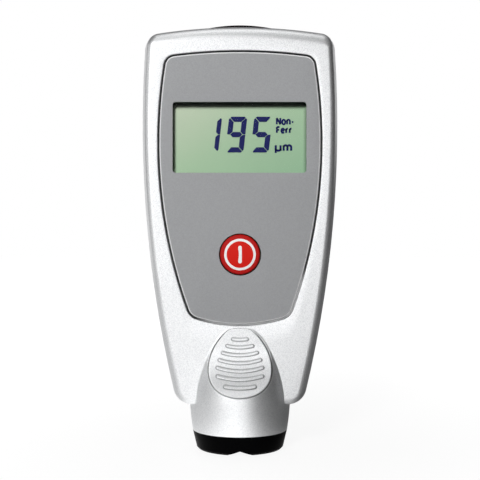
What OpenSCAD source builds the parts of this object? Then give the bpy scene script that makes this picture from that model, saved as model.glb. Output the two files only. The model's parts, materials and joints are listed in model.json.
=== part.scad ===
// Handheld coating thickness gauge.
// Silver two-shell housing, grey inset panel with a display and one push button, finger scoop
// with ridges on the probe boss, and a sprung probe in a black foot with a V-groove.
// Millimetres. The origin is the middle of the foot face on the probe axis.
// +Z runs up the gauge and the front faces -Y. Depths named _f are counted toward the front
// from the plane where the two shells meet.

/* [Housing] */
// Width at the widest point
body_w = 57.8; // [57:0.2:60]
// Distance of the widest point below the top
flank_drop = 28.9; // [27.2:0.1:30.2]
// Radius of the long flanks
flank_r = 337; // [325:1:360]
// Top of the housing
body_top = 124.2; // [123.8:0.1:125.4]
// Bottom edge of the housing
body_bottom = 11.9; // [11.6:0.1:12.2]
// Radius of the top and bottom edges
end_r = 160; // [140:1:200]
// Radius of the top corners
top_corner = 5; // [4:0.1:6]
// Radius of the bottom corners
bottom_corner = 5.6; // [4.6:0.1:6.4]
// Depth of the front shell
front_depth = 8; // [7.9:0.05:8.4]
// Depth of the rear shell
rear_depth = 14.8; // [14.8:0.05:15.2]
// Wall thickness
wall = 1.8; // [1.6:0.05:1.9]
// Slope of the front side walls in degrees
front_draft = 11; // [8:0.5:12]
// Slope of the rear side walls in degrees
rear_draft = 4; // [3:0.5:6]
// Edge rounding of the front along the flanks
flank_round = 1.8; // [1.4:0.1:2.2]
// Length of the soft roll at the top of the front
top_roll = 3.9; // [3.4:0.1:4]
// Height of the soft roll at the top of the front
top_roll_h = 3.4; // [3:0.1:3.8]
// Edge rounding of the rear
rear_round = 3.8; // [3.4:0.1:3.9]

/* [Front panel] */
// Distance of the panel side from the flank at its widest
panel_inset = 5.5; // [5.3:0.05:5.9]
// Distance of the widest point of the panel below the top of the housing
panel_drop = 34.6; // [33.2:0.1:35.2]
// Radius of the panel sides
panel_side_r = 143; // [138:1:150]
// Distance of the panel top below the top of the housing
panel_top_drop = 8.5; // [8.2:0.1:9.2]
// Bottom of the panel
panel_bottom = 36.9; // [36.7:0.1:37.5]
// Radius of the panel top edge
panel_top_r = 149; // [130:1:180]
// Radius of the panel bottom edge
panel_bottom_r = 42; // [40:1:46]
// Radius of the panel top corners
panel_corner = 3; // [2.5:0.1:3.6]
// Radius of the panel bottom corners
panel_foot_corner = 4; // [3.4:0.1:4.6]
// Thickness of the panel
panel_t = 1; // [0.9:0.05:1.05]
// Depth of the pocket that holds the panel
panel_pocket = 1.1; // [1.1:0.05:1.2]
// Gap round the panel
panel_gap = 0.35; // [0.25:0.05:0.45]

/* [Display] */
// Distance of the display opening from the flank
view_inset = 9.7; // [9.5:0.05:10.2]
// Height of the display opening
view_h = 20.5; // [20:0.1:21]
// Distance of the display centre below the top of the housing
view_drop = 33.25; // [32.9:0.05:33.6]
// Corner radius of the display opening
view_corner = 0.9; // [0.5:0.1:1.4]
// Step of the shell opening outside the panel opening
view_step = 0.3; // [0.2:0.05:0.4]
// Lip that carries the clear window
lens_lip = 1.4; // [1.2:0.1:1.6]
// Thickness of the clear window
lens_t = 0.75; // [0.7:0.05:0.8]
// Thickness of the shell behind the panel
deck_t = 1.5; // [1.4:0.05:1.6]
// Distance of the display glass from the flank
lcd_inset = 6.4; // [6.3:0.05:6.7]
// Height of the display glass
lcd_h = 27; // [26.6:0.1:27.2]
// Thickness of the display glass
lcd_t = 2.4; // [2.3:0.05:2.4]
// Thickness of the reflector
reflector_t = 0.3; // [0.25:0.05:0.4]
// Height of the contact strips
strip_h = 1.6; // [1.55:0.05:1.65]
// Width of a contact strip
strip_w = 1.8; // [1.6:0.1:1.9]
// Distance of the contact strips from the display edge
strip_inset = 1; // [0.9:0.1:1.2]
// Wall of the display frame
frame_wall = 1.2; // [1:0.05:1.3]
// Height of a digit
digit_h = 10.2; // [9.6:0.1:10.6]
// Width of a digit
digit_w = 5.3; // [5:0.1:5.5]
// Stroke of a digit segment
digit_stroke = 1.4; // [1.3:0.05:1.5]
// Cut back of the pointed end of a segment
bar_gap = 0.12; // [0.1:0.01:0.16]
// Step from digit to digit
digit_pitch = 7.2; // [7:0.1:7.4]
// Slant of the digits in degrees
digit_slant = 6.5; // [5:0.5:8]
// Side offset of the middle digit
digit_x = -0.8; // [-1.2:0.1:-0.4]
// Distance of the digits above the middle of the display
digit_rise = 0.9; // [0.6:0.1:1.2]
// Thickness of the segments
segment_t = 0.1; // [0.08:0.01:0.12]

/* [Button] */
// Diameter of the button
button_d = 11.6; // [11:0.1:12]
// Distance of the button centre below the top of the housing
button_drop = 67.1; // [66.6:0.1:67.4]
// How far the button stands out of the panel
button_proud = 0.6; // [0.45:0.05:0.8]
// Radius of the domed button face
button_dome_r = 40; // [34:1:60]
// Travel of the button
button_travel = 0.4; // [0.3:0.05:0.45]
// Gap round the button
button_gap = 0.3; // [0.3:0.05:0.35]
// Width of the button flange
button_flange = 1.1; // [1:0.05:1.2]
// Thickness of the button flange
button_flange_t = 0.9; // [0.8:0.05:0.95]
// Outside diameter of the ring symbol
ring_d = 9.5; // [9.2:0.1:9.7]
// Stroke of the ring symbol
ring_stroke = 1.05; // [0.9:0.05:1.15]
// Length of the bar symbol
bar_l = 5.1; // [4.6:0.1:5.6]
// Width of the bar symbol
bar_w = 1; // [0.9:0.05:1.2]
// Depth of the symbol inlay
inlay_t = 0.6; // [0.5:0.05:0.7]
// Side of the switch body
switch_w = 6; // [5.8:0.1:6.2]
// Height of the switch body
switch_h = 1.4; // [1.3:0.05:1.45]
// Radius of the switch plunger
plunger_r = 1.6; // [1.5:0.05:1.7]

/* [Boss and finger scoop] */
// Height of the collar edge above the foot
collar_z = 5.5; // [5.4:0.05:5.7]
// Radius of the collar at its edge
collar_r = 13.97; // [13.9:0.01:14.05]
// Largest radius of the boss
boss_r = 14.8; // [14.75:0.05:14.8]
// Height of the largest radius
boss_z = 14.5; // [14:0.1:15]
// Radius of the boss where it sinks into the front
boss_tip_r = 8.3; // [8.1:0.1:8.4]
// Height where the boss sinks into the front
boss_tip_z = 36.4; // [36.2:0.1:36.6]
// Curve of the boss flank
boss_power = 1.75; // [1.6:0.05:1.9]
// Height of the scoop floor above the front face
scoop_step = 0.7; // [0.6:0.05:0.8]
// Radius of the scoop
scoop_r = 16; // [15.7:0.1:16.3]
// Height where the scoop starts to curve out
scoop_z = 29; // [28.8:0.1:29.2]
// Number of ridges
ridge_count = 7; // [6:1:7]
// Step from ridge to ridge
ridge_pitch = 2.22; // [2.15:0.01:2.25]
// Width of a ridge
ridge_w = 0.9; // [0.8:0.05:1]
// Height of a ridge
ridge_h = 0.35; // [0.3:0.05:0.45]
// Radius of the first ridge
ridge_r = 12.66; // [12.5:0.01:12.8]
// Height of the centre of the ridge arcs
ridge_z = 45.2; // [45:0.1:45.4]
// Half length of the longest ridge
ridge_half = 7.1; // [6.8:0.1:7.3]
// Height of the longest ridge
ridge_mid_z = 22.6; // [22.4:0.1:22.8]
// Reach of the ridge field upward
ridge_up = 10.5; // [10.3:0.1:11]
// Reach of the ridge field downward
ridge_down = 4.6; // [4.4:0.1:4.8]

/* [Infrared window] */
// Width of the window
ir_w = 20.7; // [20:0.1:21.4]
// Depth of the window from front to back
ir_d = 6.4; // [6:0.1:6.6]
// How far the window stands out
ir_proud = 0.8; // [0.7:0.05:0.9]
// Radius of the window
ir_r = 47; // [44:0.5:50]
// Width of the lip inside the wall
ir_lip = 1.2; // [1:0.1:1.4]
// Thickness of the lip
ir_lip_t = 1; // [0.9:0.05:1.1]

/* [Probe] */
// Radius of the foot at the measuring face
foot_r = 12.8; // [12.6:0.05:13]
// Rounding of the foot edge
foot_round = 0.6; // [0.4:0.05:0.7]
// Width of the V-groove
groove_w = 7.1; // [6.9:0.05:7.3]
// Depth of the V-groove
groove_h = 1.28; // [1.2:0.02:1.36]
// Radius of the foot spigot
spigot_r = 11.9; // [11.7:0.05:12]
// Length of the foot spigot
spigot_l = 5; // [4.8:0.1:5.2]
// Radius of the sliding sleeve
sleeve_r = 4.5; // [4.4:0.05:4.6]
// Wall of the sleeve
sleeve_wall = 0.7; // [0.65:0.05:0.75]
// Radius of the sleeve flange
flange_r = 6.3; // [6.2:0.05:6.4]
// Travel of the probe
probe_travel = 1.2; // [1:0.05:1.3]
// Radius of the guide
guide_r = 8; // [7.9:0.05:8.1]
// Width and height of the rims that hold the probe guide
guide_rim = 1.6; // [1.5:0.05:1.65]
// Height of the ledge that stops the probe
ledge_z = 17; // [16.9:0.05:17.1]
// Radius of the probe tip
tip_r = 1.5; // [1.4:0.05:1.6]
// Radius of the rounded tip face
tip_ball_r = 3.2; // [2.8:0.1:3.6]
// Radius of the core
core_r = 1.9; // [1.85:0.05:1.95]
// Length of one coil
coil_l = 4.5; // [4.3:0.05:4.6]
// Thickness of a bobbin flange
bobbin_t = 0.6; // [0.5:0.05:0.65]
// Wall of the bobbin tube
bobbin_wall = 0.35; // [0.3:0.05:0.4]
// Length of the probe spring
spring_l = 10.2; // [10:0.1:10.4]
// Turns of the probe spring
spring_turns = 6; // [5:1:7]
// Wire radius of the probe spring
spring_wire = 0.25; // [0.22:0.01:0.28]
// Radius of the spring spigots
peg_r = 2.5; // [2.4:0.05:2.55]
// Radius of the spring seat
seat_r = 6.2; // [6:0.05:6.3]
// Step of the spring seat where it passes its wall
seat_step = 1; // [0.9:0.05:1.1]

/* [Battery bay] */
// Diameter of a cell
cell_d = 10.5; // [10.2:0.1:10.5]
// Length of a cell without its stud
cell_l = 43.7; // [43.2:0.1:43.9]
// Length of the cell stud
stud_l = 0.8; // [0.7:0.05:0.9]
// Radius of the cell stud
stud_r = 1.9; // [1.7:0.05:2]
// Gap between the cells
cell_gap = 0.7; // [0.5:0.05:0.8]
// Distance of the bottom of the bay below the top of the housing
bay_drop = 59.7; // [59.2:0.1:60]
// Length of the compressed contact spring
contact_l = 5; // [4.8:0.1:5.1]
// Radius of the contact spring at its base
contact_r = 3.4; // [3.2:0.1:3.6]
// Radius of the contact spring at the cell
contact_tip_r = 2; // [1.8:0.1:2.4]
// Turns of the contact spring
contact_turns = 4; // [3:1:5]
// Wire radius of the contact spring
contact_wire = 0.3; // [0.25:0.05:0.35]
// Thickness of a contact plate
plate_t = 0.4; // [0.35:0.05:0.5]
// Width of a contact plate
plate_w = 8; // [7.6:0.1:8.4]
// Wall of the bay
bay_wall = 1.2; // [1.1:0.05:1.25]
// Floor of the bay
bay_floor = 0.9; // [0.8:0.05:0.95]
// Thickness of the cover
cover_t = 1.7; // [1.65:0.05:1.75]
// Width of the cover
cover_w = 27; // [26.4:0.1:27.4]
// Distance of the bottom edge of the cover below the top of the housing
cover_drop = 66.2; // [65.8:0.1:66.6]
// Distance of the top edge of the cover below the top of the housing
cover_top_drop = 4.8; // [4.6:0.1:5.2]
// Width of the cover rails
rail_w = 1.2; // [1.1:0.05:1.3]
// Thickness of the cover rails
rail_t = 0.8; // [0.75:0.05:0.85]
// Gap round the cover
cover_gap = 0.3; // [0.3:0.02:0.36]
// Number of grip grooves
grip_count = 5; // [4:1:6]
// Step of the grip grooves
grip_pitch = 2; // [1.8:0.1:2.2]
// Depth of the grip grooves
grip_h = 0.4; // [0.3:0.05:0.5]
// Distance of the grip bars from the lower end of the cover
grip_start = 8; // [7:0.5:9]

/* [Board and screws] */
// Distance of the wide board from the flank
board_inset = 5.9; // [5.5:0.1:6.3]
// Distance of the narrow board from the flank
board_low_inset = 8.9; // [8.5:0.1:9.3]
// Distance of the bottom of the board below the top of the housing
board_drop = 74.7; // [74.2:0.1:75.2]
// Distance of the step in the board below the top of the housing
board_step_drop = 58.2; // [57.2:0.1:58.6]
// Distance of the top of the wide board below the top of the housing
board_top_drop = 12.6; // [12.4:0.05:12.7]
// Half width of the board tongue
tongue_half = 9; // [8.6:0.1:9.4]
// Distance of the top of the board tongue below the top of the housing
tongue_drop = 7.7; // [7.6:0.1:8]
// Thickness of the board
board_t = 1.6; // [1.55:0.05:1.6]
// Distance of the upper case screws from the flank
screw_top_inset = 8.9; // [8.5:0.1:9.1]
// Distance of the upper case screws below the top of the housing
screw_top_drop = 8.7; // [8.4:0.1:8.9]
// Distance of the lower case screws from the flank
screw_low_inset = 13.4; // [13.2:0.1:13.6]
// Height of the lower case screws
screw_low_z = 27; // [26.6:0.1:27.4]
// Radius of a case screw shank
screw_r = 1.1; // [1:0.05:1.15]
// Radius of a case screw head
screw_head_r = 2.1; // [2:0.05:2.2]
// Height of a case screw head
screw_head_h = 1.5; // [1.4:0.05:1.6]
// Depth of the screw seat behind the shell joint
screw_seat = 6; // [5.8:0.1:6.2]
// Reach of a case screw into the front shell
screw_reach = 4.2; // [4:0.1:4.4]
// Wall round a screw
boss_wall = 1.6; // [1.5:0.05:1.65]
// Wall round the pocket of a case screw head
pocket_wall = 1; // [0.9:0.05:1.1]
// Distance of the upper board screws from the flank
board_screw_inset = 10.4; // [10.2:0.1:10.6]
// Distance of the upper board screws below the top of the housing
board_screw_drop = 15.2; // [15.1:0.05:15.3]
// Distance of the lower board screws from the flank
board_low_screw_inset = 12.4; // [12.1:0.1:12.7]
// Distance of the lower board screws below the top of the housing
board_low_drop = 70.7; // [70.2:0.1:70.9]
// Radius of a board screw shank
board_screw_r = 0.9; // [0.8:0.05:0.95]
// Radius of a board screw head
board_head_r = 1.7; // [1.6:0.05:1.8]
// Height of a board screw head
board_head_h = 0.9; // [0.8:0.05:1]
// Side of the controller chip
chip_w = 7; // [6.6:0.1:7.2]
// Height of a chip
chip_h = 1.4; // [1.2:0.05:1.5]
// Distance of the chips below the top of the housing
chip_drop = 55.2; // [54.6:0.1:55.6]
// Side distance of the chips
chip_x = 12; // [11.6:0.1:12.4]
// Radius of the sounder
sounder_r = 5.4; // [5.2:0.1:5.5]
// Height of the sounder
sounder_h = 3; // [2.6:0.1:3.4]
// Side distance of the sounder
sounder_x = 10; // [9.8:0.1:10.2]
// Radius of the hole in the sounder
sounder_hole = 1; // [0.8:0.1:1.4]
// Side distance of the middle capacitor
capacitor_x = 11; // [10.8:0.1:11.2]
// Step between the capacitors
capacitor_pitch = 3.6; // [3.5:0.05:3.7]
// Radius of a capacitor
capacitor_r = 1.6; // [1.5:0.05:1.65]
// Height of a capacitor
capacitor_h = 4; // [3.6:0.1:4.2]
// Radius of the crystal can
crystal_r = 1.2; // [1.1:0.05:1.25]
// Length of the crystal can
crystal_l = 6; // [5.6:0.1:6.2]
// Length of a chip pin
pin_l = 1; // [0.9:0.05:1.1]
// Radius of an infrared diode
diode_r = 1.2; // [1.1:0.05:1.25]
// Side distance of the infrared diodes
diode_x = 4; // [3.8:0.1:4.2]

/* [Clearances] */
// Sliding fit of the probe, on the radius
slide_fit = 0.06; // [0.04:0.01:0.08]
// Fit of parts that are pushed in, on the radius
seat_fit = 0.05; // [0.03:0.01:0.07]
// Free gap between parts that move past each other
free_gap = 0.3; // [0.3:0.01:0.34]

/* [Hidden] */
$fn = 96;
slight = 0.01;
through = 1;
silver = [0.82, 0.83, 0.84];
panel_grey = [0.6, 0.61, 0.62];
black = [0.05, 0.05, 0.05];
red = [0.75, 0.1, 0.08];
white = [0.95, 0.95, 0.94];
glass = [0.66, 0.75, 0.64];
clear = [0.8, 0.85, 0.85, 0.4];
navy = [0.12, 0.12, 0.38];
steel = [0.7, 0.71, 0.73];
copper = [0.75, 0.43, 0.22];
board_green = [0.1, 0.38, 0.2];
cell_blue = [0.2, 0.28, 0.42];

// Heights counted down from the top end
flank_z = body_top - flank_drop;
panel_z = body_top - panel_drop;
panel_top = body_top - panel_top_drop;
view_z = body_top - view_drop;
button_z = body_top - button_drop;
bay_z = body_top - bay_drop;
cover_z = body_top - cover_drop;
cover_top = body_top - cover_top_drop;
board_z = body_top - board_drop;
board_step_z = body_top - board_step_drop;
board_top = body_top - board_top_drop;
tongue_top = body_top - tongue_drop;
screw_top_z = body_top - screw_top_drop;
board_screw_z = body_top - board_screw_drop;
board_low_z = body_top - board_low_drop;
chip_z = body_top - chip_drop;
// Widths and side distances counted in from the flanks
panel_w = body_w - 2 * panel_inset;
view_w = body_w - 2 * view_inset;
lcd_w = body_w - 2 * lcd_inset;
board_half = body_w / 2 - board_inset;
board_low_half = body_w / 2 - board_low_inset;
screw_top_x = body_w / 2 - screw_top_inset;
screw_low_x = body_w / 2 - screw_low_inset;
board_screw_x = body_w / 2 - board_screw_inset;
board_low_x = body_w / 2 - board_low_screw_inset;

// Clear window with its lip all round
lens_w = view_w + 2 * (lens_lip + view_step);
lens_h = view_h + 2 * (lens_lip + view_step);
// Layers from the front inward
floor_f = front_depth - panel_pocket;
deck_f = floor_f - deck_t;
lens_f = floor_f - lens_t - seat_fit;
lcd_f = deck_f - lcd_t;
board_f = lcd_f - strip_h;
board_back_f = board_f - board_t;
scoop_f = front_depth + scoop_step;
// Layers from the back inward
cover_in_f = -rear_depth + cover_t;
pocket_boss_r = screw_head_r + free_gap + pocket_wall;
pocket_boss_f = -rear_depth + 3 * wall / 4;
cell_f = cover_in_f + cover_gap + cell_d / 2;
bay_front_f = cell_f + cell_d / 2 + free_gap / 2;
cell_x = (cell_d + cell_gap) / 2;
bay_half = cell_x + cell_d / 2 + free_gap;
bay_l = cell_l + stud_l + plate_t + contact_l;
bay_top = bay_z + bay_l;
sounder_z = bay_z - bay_wall - free_gap - sounder_r;
ir_low_z = body_top - 2 * wall - free_gap - ir_lip_t;
diode_h = ir_low_z - free_gap - diode_r - tongue_top;
// Probe stack from the foot upward
bulkhead_t = 1.5;
boss_back_r = boss_r - 0.2;
bulkhead_z = collar_z + spigot_l + 2.5;
guide_z = collar_z + spigot_l + 0.2;
sleeve_z = groove_h + 0.25;
sleeve_floor = 1.5;
flange_t = 1.5;
flange_z = ledge_z + free_gap;
spring_z = flange_z + flange_t;
seat_z = spring_z + spring_l;
seat_t = 0.9;
seat_neck_r = seat_r - seat_step;
guide_top = flange_z + flange_t + probe_travel + 1.2;
spring_r = peg_r + spring_wire + 0.1;
coil_r = sleeve_r - sleeve_wall - 0.3;
bobbin_r = sleeve_r - sleeve_wall - seat_fit;
bobbin_z = sleeve_z + sleeve_floor + seat_fit;
bobbin_l = 2 * coil_l + 3 * bobbin_t;
hole_r = sleeve_r + slide_fit;

front_shell();
rear_shell();
battery_cover();
front_panel();
display_window();
lcd_cell();
display_segments();
display_reflector();
contact_strips();
lcd_frame();
circuit_board();
microcontroller();
signal_chip();
crystal();
capacitors();
sounder();
infrared_diodes();
infrared_window();
switch_body();
switch_plunger();
power_button();
button_symbol();
probe_cap();
probe_guide();
probe_sleeve();
probe_core();
probe_tip();
coil_bobbin();
drive_coil();
pickup_coil();
probe_spring();
spring_seat();
cell_left();
cell_right();
contact_springs();
contact_plates();
board_screws();
case_screws();

// Meeting point of two circles, the upper one or the lower one
function meet(c1, r1, c2, r2, upper) =
    let (
        v = c2 - c1,
        d = norm(v),
        a = (d * d + r1 * r1 - r2 * r2) / (2 * d),
        h = sqrt(r1 * r1 - a * a),
        u = v / d,
        p = c1 + a * u,
        q = [p.x - h * u.y, p.y + h * u.x],
        s = [p.x + h * u.y, p.y - h * u.x]
    )
    upper == (q.y > s.y) ? q : s;

function eased(t) = t * t * (3 - 2 * t);

function mix(a, b, t) = a + (b - a) * t;

// Samples along an arc, each holding place, outward direction and share of the end shape
function arc_samples(c, r, a0, a1, n, e0, e1) = [
    for (i = [0 : n - 1])
        let (t = i / n, a = mix(a0, a1, t))
        [c.x + r * cos(a), c.y + r * sin(a), cos(a), sin(a), mix(e0, e1, eased(t))]
];

// Right half of an outline of four arcs with rounded corners, from bottom to top
function half_outline(half, side_z, side_r, top, top_r, bottom, bottom_r, rt, rb) =
    let (
        cs = [half - side_r, side_z],
        ct = [0, top - top_r],
        cb = [0, bottom + bottom_r],
        kt = meet(cs, side_r - rt, ct, top_r - rt, true),
        kb = meet(cs, side_r - rb, cb, bottom_r - rb, false),
        a_st = atan2(kt.y - cs.y, kt.x - cs.x),
        a_tt = atan2(kt.y - ct.y, kt.x - ct.x),
        a_sb = atan2(kb.y - cs.y, kb.x - cs.x),
        a_bb = atan2(kb.y - cb.y, kb.x - cb.x)
    )
    concat(
        arc_samples(cb, bottom_r, -90, a_bb, 4, 0, 0),
        arc_samples(kb, rb, a_bb, a_sb, 7, 0, 0),
        arc_samples(cs, side_r, a_sb, a_st, 14, 0, 0),
        arc_samples(kt, rt, a_st, a_tt, 7, 0, 1),
        arc_samples(ct, top_r, a_tt, 90, 6, 1, 1),
        [[0, top, 0, 1, 1]]
    );

// Full outline: the right half, then its mirror image from top to bottom
function outline(half) =
    concat(half, [
        for (i = [len(half) - 2 : -1 : 1])
            let (s = half[i])
            [-s[0], s[1], -s[2], s[3], s[4]]
    ]);

body_line = outline(half_outline(body_w / 2, flank_z, flank_r, body_top, end_r, body_bottom, end_r,
    top_corner, bottom_corner));

// One ring of the housing: inset and depth run from the flank values to the top values
function ring(inset_side, inset_top, f_side, f_top) = [
    for (s = body_line)
        let (d = mix(inset_side, inset_top, s[4]))
        [s[0] - d * s[2], -mix(f_side, f_top, s[4]), s[1] - d * s[3]]
];

// Rings from the shell joint to the face: a drafted wall, then a rounded edge
function half_rings(depth, draft, side_a, side_b, top_a, top_b, inset, steps, way, start) = concat(
    [ring(inset, inset, way * start, way * start)],
    [
        for (i = [0 : steps])
            let (a = 90 * i / steps)
            ring(
                inset + tan(draft) * (depth - side_b) + side_a * (1 - cos(a)),
                inset + tan(draft) * (depth - top_b) + top_a * (1 - cos(a)),
                way * (depth - side_b + side_b * sin(a)),
                way * (depth - top_b + top_b * sin(a))
            )
    ]
);

// Closed skin over a stack of rings
module skin(rings, flip) {
    n = len(rings[0]);
    rows = len(rings);
    points = [for (r = rings) each r];
    sides = [
        for (j = [0 : rows - 2], i = [0 : n - 1])
            let (a = j * n + i, b = j * n + (i + 1) % n, c = b + n, d = a + n)
            each [[a, b, c], [a, c, d]]
    ];
    caps = [[for (i = [n - 1 : -1 : 0]) i], [for (i = [0 : n - 1]) (rows - 1) * n + i]];
    faces = concat(sides, caps);
    polyhedron(points, flip ? [for (f = faces) [for (i = [len(f) - 1 : -1 : 0]) f[i]]] : faces);
}

// Front view drawing raised between two depths
module raise(f0, f1) {
    rotate([90, 0, 0]) translate([0, 0, f0]) linear_extrude(f1 - f0) children();
}

// Round peg along the depth
module peg(x, z, r, f0, f1) {
    rotate([90, 0, 0]) translate([x, z, f0]) cylinder(r = r, h = f1 - f0);
}

// Plate seen from the front, given by its centre and size
module plate(x, z, w, h, f0, f1) {
    translate([x - w / 2, -f1, z - h / 2]) cube([w, f1 - f0, h]);
}

// Flat rectangle with rounded corners
module rounded_rect(w, h, r) {
    square([w - 2 * r, h], center = true);
    square([w, h - 2 * r], center = true);
    for (x = [-1, 1], y = [-1, 1]) {
        translate([x * (w / 2 - r), y * (h / 2 - r)]) circle(r);
    }
}

// Outline of the front panel, grown by a gap
function panel_line(gap) = outline(half_outline(panel_w / 2 + gap, panel_z, panel_side_r + gap,
    panel_top + gap, panel_top_r + gap, panel_bottom - gap, panel_bottom_r + gap, panel_corner + gap,
    panel_foot_corner + gap));

// Tube along Z
module tube(r, bore, z, h) {
    translate([0, 0, z]) difference() {
        cylinder(r = r, h = h);
        translate([0, 0, -slight]) cylinder(r = bore, h = h + 2 * slight);
    }
}

// Coil of round wire along Z
module helix(r0, r1, z, l, turns, wire) {
    sides = 6;
    steps = turns * 14;
    rings = [
        for (i = [0 : steps])
            let (t = i / steps, a = 360 * turns * t, r = mix(r0, r1, t), h = z + wire + (l - 2 * wire) * t)
            [
                for (k = [0 : sides - 1])
                    let (b = 360 * k / sides, q = r + wire * cos(b))
                    [q * cos(a), q * sin(a), h + wire * sin(b)]
            ]
    ];
    skin(rings, true);
}

// Radius of the boss at a height
function boss_radius(z) =
    z <= boss_z
        ? mix(collar_r, boss_r, sin(90 * (z - collar_z) / (boss_z - collar_z)))
        : boss_r - (boss_r - boss_tip_r) * pow((z - boss_z) / (boss_tip_z - boss_z), boss_power);

// Side profile of the boss, grown inward by a wall
module boss_profile(inward, z0, z1) {
    steps = 24;
    polygon(concat(
        [[0, z0]],
        [for (i = [0 : steps]) let (z = mix(z0, z1, i / steps)) [boss_radius(z) - inward, z]],
        [[0, z1]]
    ));
}

// Half turn of a profile toward the front or the back
module half_turn(front) {
    rotate([0, 0, front ? 180 : 0]) rotate_extrude(angle = 180) children();
}

// Space over the finger scoop: a level run, then a curve that climbs toward the foot
module scoop_space(lift) {
    steps = 20;
    reach = boss_r + wall;
    r = scoop_r - lift;
    curve = [
        for (i = [0 : steps])
            let (a = 90 * i / steps)
            [scoop_z - r * sin(a), scoop_f + scoop_r - r * cos(a)]
    ];
    far = 2 * boss_r;
    high = boss_tip_z + reach;
    corner = [[scoop_z - r, far], [high, far], [high, scoop_f + lift]];
    translate([reach, 0, 0]) rotate([0, -90, 0]) linear_extrude(2 * reach)
        polygon([for (p = concat(curve, corner)) [p[0], -p[1]]]);
}

// Flat drawing of one ridge, a slice of a ring with round ends
module ridge_shape(i) {
    r = ridge_r + i * ridge_pitch;
    z = ridge_z - r;
    share = z > ridge_mid_z ? (z - ridge_mid_z) / ridge_up : (ridge_mid_z - z) / ridge_down;
    half = asin(ridge_half * sqrt(1 - share * share) / r);
    far = 2 * r;
    translate([0, ridge_z]) {
        intersection() {
            difference() {
                circle(r + ridge_w / 2);
                circle(r - ridge_w / 2);
            }
            polygon([[0, 0], [-far * sin(half), -far * cos(half)], [far * sin(half), -far * cos(half)]]);
        }
        for (s = [-1, 1]) {
            translate([s * r * sin(half), -r * cos(half)]) circle(ridge_w / 2);
        }
    }
}

// Solid of the boss with its scoop and ridges
module boss_solid() {
    difference() {
        half_turn(true) boss_profile(0, collar_z, boss_tip_z);
        scoop_space(0);
    }
    difference() {
        raise(front_depth - wall / 2, boss_r) for (i = [0 : ridge_count - 1]) ridge_shape(i);
        scoop_space(ridge_h);
    }
}

// Places of the case screws
module at_case_screws() {
    for (s = [-1, 1]) {
        translate([s * screw_top_x, 0, screw_top_z]) children();
        translate([s * screw_low_x, 0, screw_low_z]) children();
    }
}

// Places of the board screws
module at_board_screws() {
    for (s = [-1, 1]) {
        translate([s * board_screw_x, 0, board_screw_z]) children();
        translate([s * board_low_x, 0, board_low_z]) children();
    }
}

// Outside of the front shell: wall, rounded edge, face, then down into the pocket of the panel
module front_skin() {
    rings = half_rings(front_depth, front_draft, flank_round, flank_round, top_roll, top_roll_h, 0, 6, 1, 0);
    pocket = [for (f = [front_depth, floor_f]) [for (s = panel_line(panel_gap)) [s[0], -f, s[1]]]];
    skin(concat(rings, pocket), true);
}

module front_cavity() {
    edge = flank_round;
    skin(half_rings(deck_f, front_draft, edge, edge, edge, edge, wall, 2, 1, -1), true);
}

module rear_skin() {
    edge = rear_round;
    skin(half_rings(rear_depth, rear_draft, edge, edge, edge, edge, 0, 6, -1, 0), false);
}

module rear_cavity() {
    inner_round = rear_round - wall;
    edge = inner_round;
    skin(half_rings(rear_depth - wall, rear_draft, edge, edge, edge, edge, wall, 3, -1, -1), false);
}

// Slot through the top wall for the infrared window
module ir_slot(grow) {
    lip_z = body_top - wall - free_gap;
    translate([-ir_w / 2 - grow, -ir_d / 2 - grow, lip_z - ir_lip_t])
        cube([ir_w + 2 * grow, ir_d + 2 * grow, ir_r]);
}

module front_shell() color(silver) difference() {
    union() {
        difference() {
            union() {
                front_skin();
                boss_solid();
            }
            front_cavity();
            difference() {
                half_turn(true) boss_profile(wall, bulkhead_z, boss_tip_z);
                scoop_space(-deck_t);
            }
        }
        half_turn(true) square_ring(guide_r + seat_fit, boss_r - wall / 2, bulkhead_z, bulkhead_t);
        half_turn(true)
            square_ring(seat_neck_r + seat_fit, scoop_f - deck_t / 2, seat_z + seat_t + seat_fit, bulkhead_t);
        at_case_screws() peg(0, 0, screw_r + boss_wall, 0, deck_f + slight);
        at_board_screws() peg(0, 0, board_screw_r + boss_wall, board_f, deck_f + slight);
    }
    translate([0, 0, collar_z - slight])
        cylinder(r = spigot_r + seat_fit, h = bulkhead_z - collar_z + slight);
    raise(floor_f - lens_t - seat_fit, front_depth) translate([0, view_z])
        square([lens_w + 2 * seat_fit, lens_h + 2 * seat_fit], center = true);
    raise(0, front_depth) translate([0, view_z])
        rounded_rect(view_w + 2 * view_step, view_h + 2 * view_step, view_corner);
    peg(0, button_z, button_d / 2 + button_gap, 0, front_depth);
    at_case_screws() peg(0, 0, screw_r + slight, -1, screw_reach + free_gap);
    at_board_screws() peg(0, 0, board_screw_r + slight, 0, board_f + lcd_t);
    ir_slot(seat_fit);
}

// Square section ring for a half turn
module square_ring(r0, r1, z, h) {
    translate([r0, z]) square([r1 - r0, h]);
}

module rear_shell() color(silver) difference() {
    union() {
        difference() {
            union() {
                rear_skin();
                half_turn(false) collar_profile();
            }
            rear_cavity();
            translate([0, 0, bulkhead_z]) cylinder(r = boss_back_r - wall, h = boss_z + 2 * wall - bulkhead_z);
        }
        half_turn(false) square_ring(guide_r + seat_fit, boss_r - wall / 2, bulkhead_z, bulkhead_t);
        seat_rib();
        at_case_screws() peg(0, 0, pocket_boss_r, pocket_boss_f, -free_gap / 2);
        bay_tub();
        channel_deck();
    }
    translate([0, 0, collar_z - slight])
        cylinder(r = spigot_r + seat_fit, h = bulkhead_z - collar_z + slight);
    at_case_screws() peg(0, 0, screw_r + seat_fit, -rear_depth, 1);
    at_case_screws() peg(0, 0, screw_head_r + free_gap, -rear_depth - through, -screw_seat);
    bay_space();
    cover_space();
    ir_slot(seat_fit);
}

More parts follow.
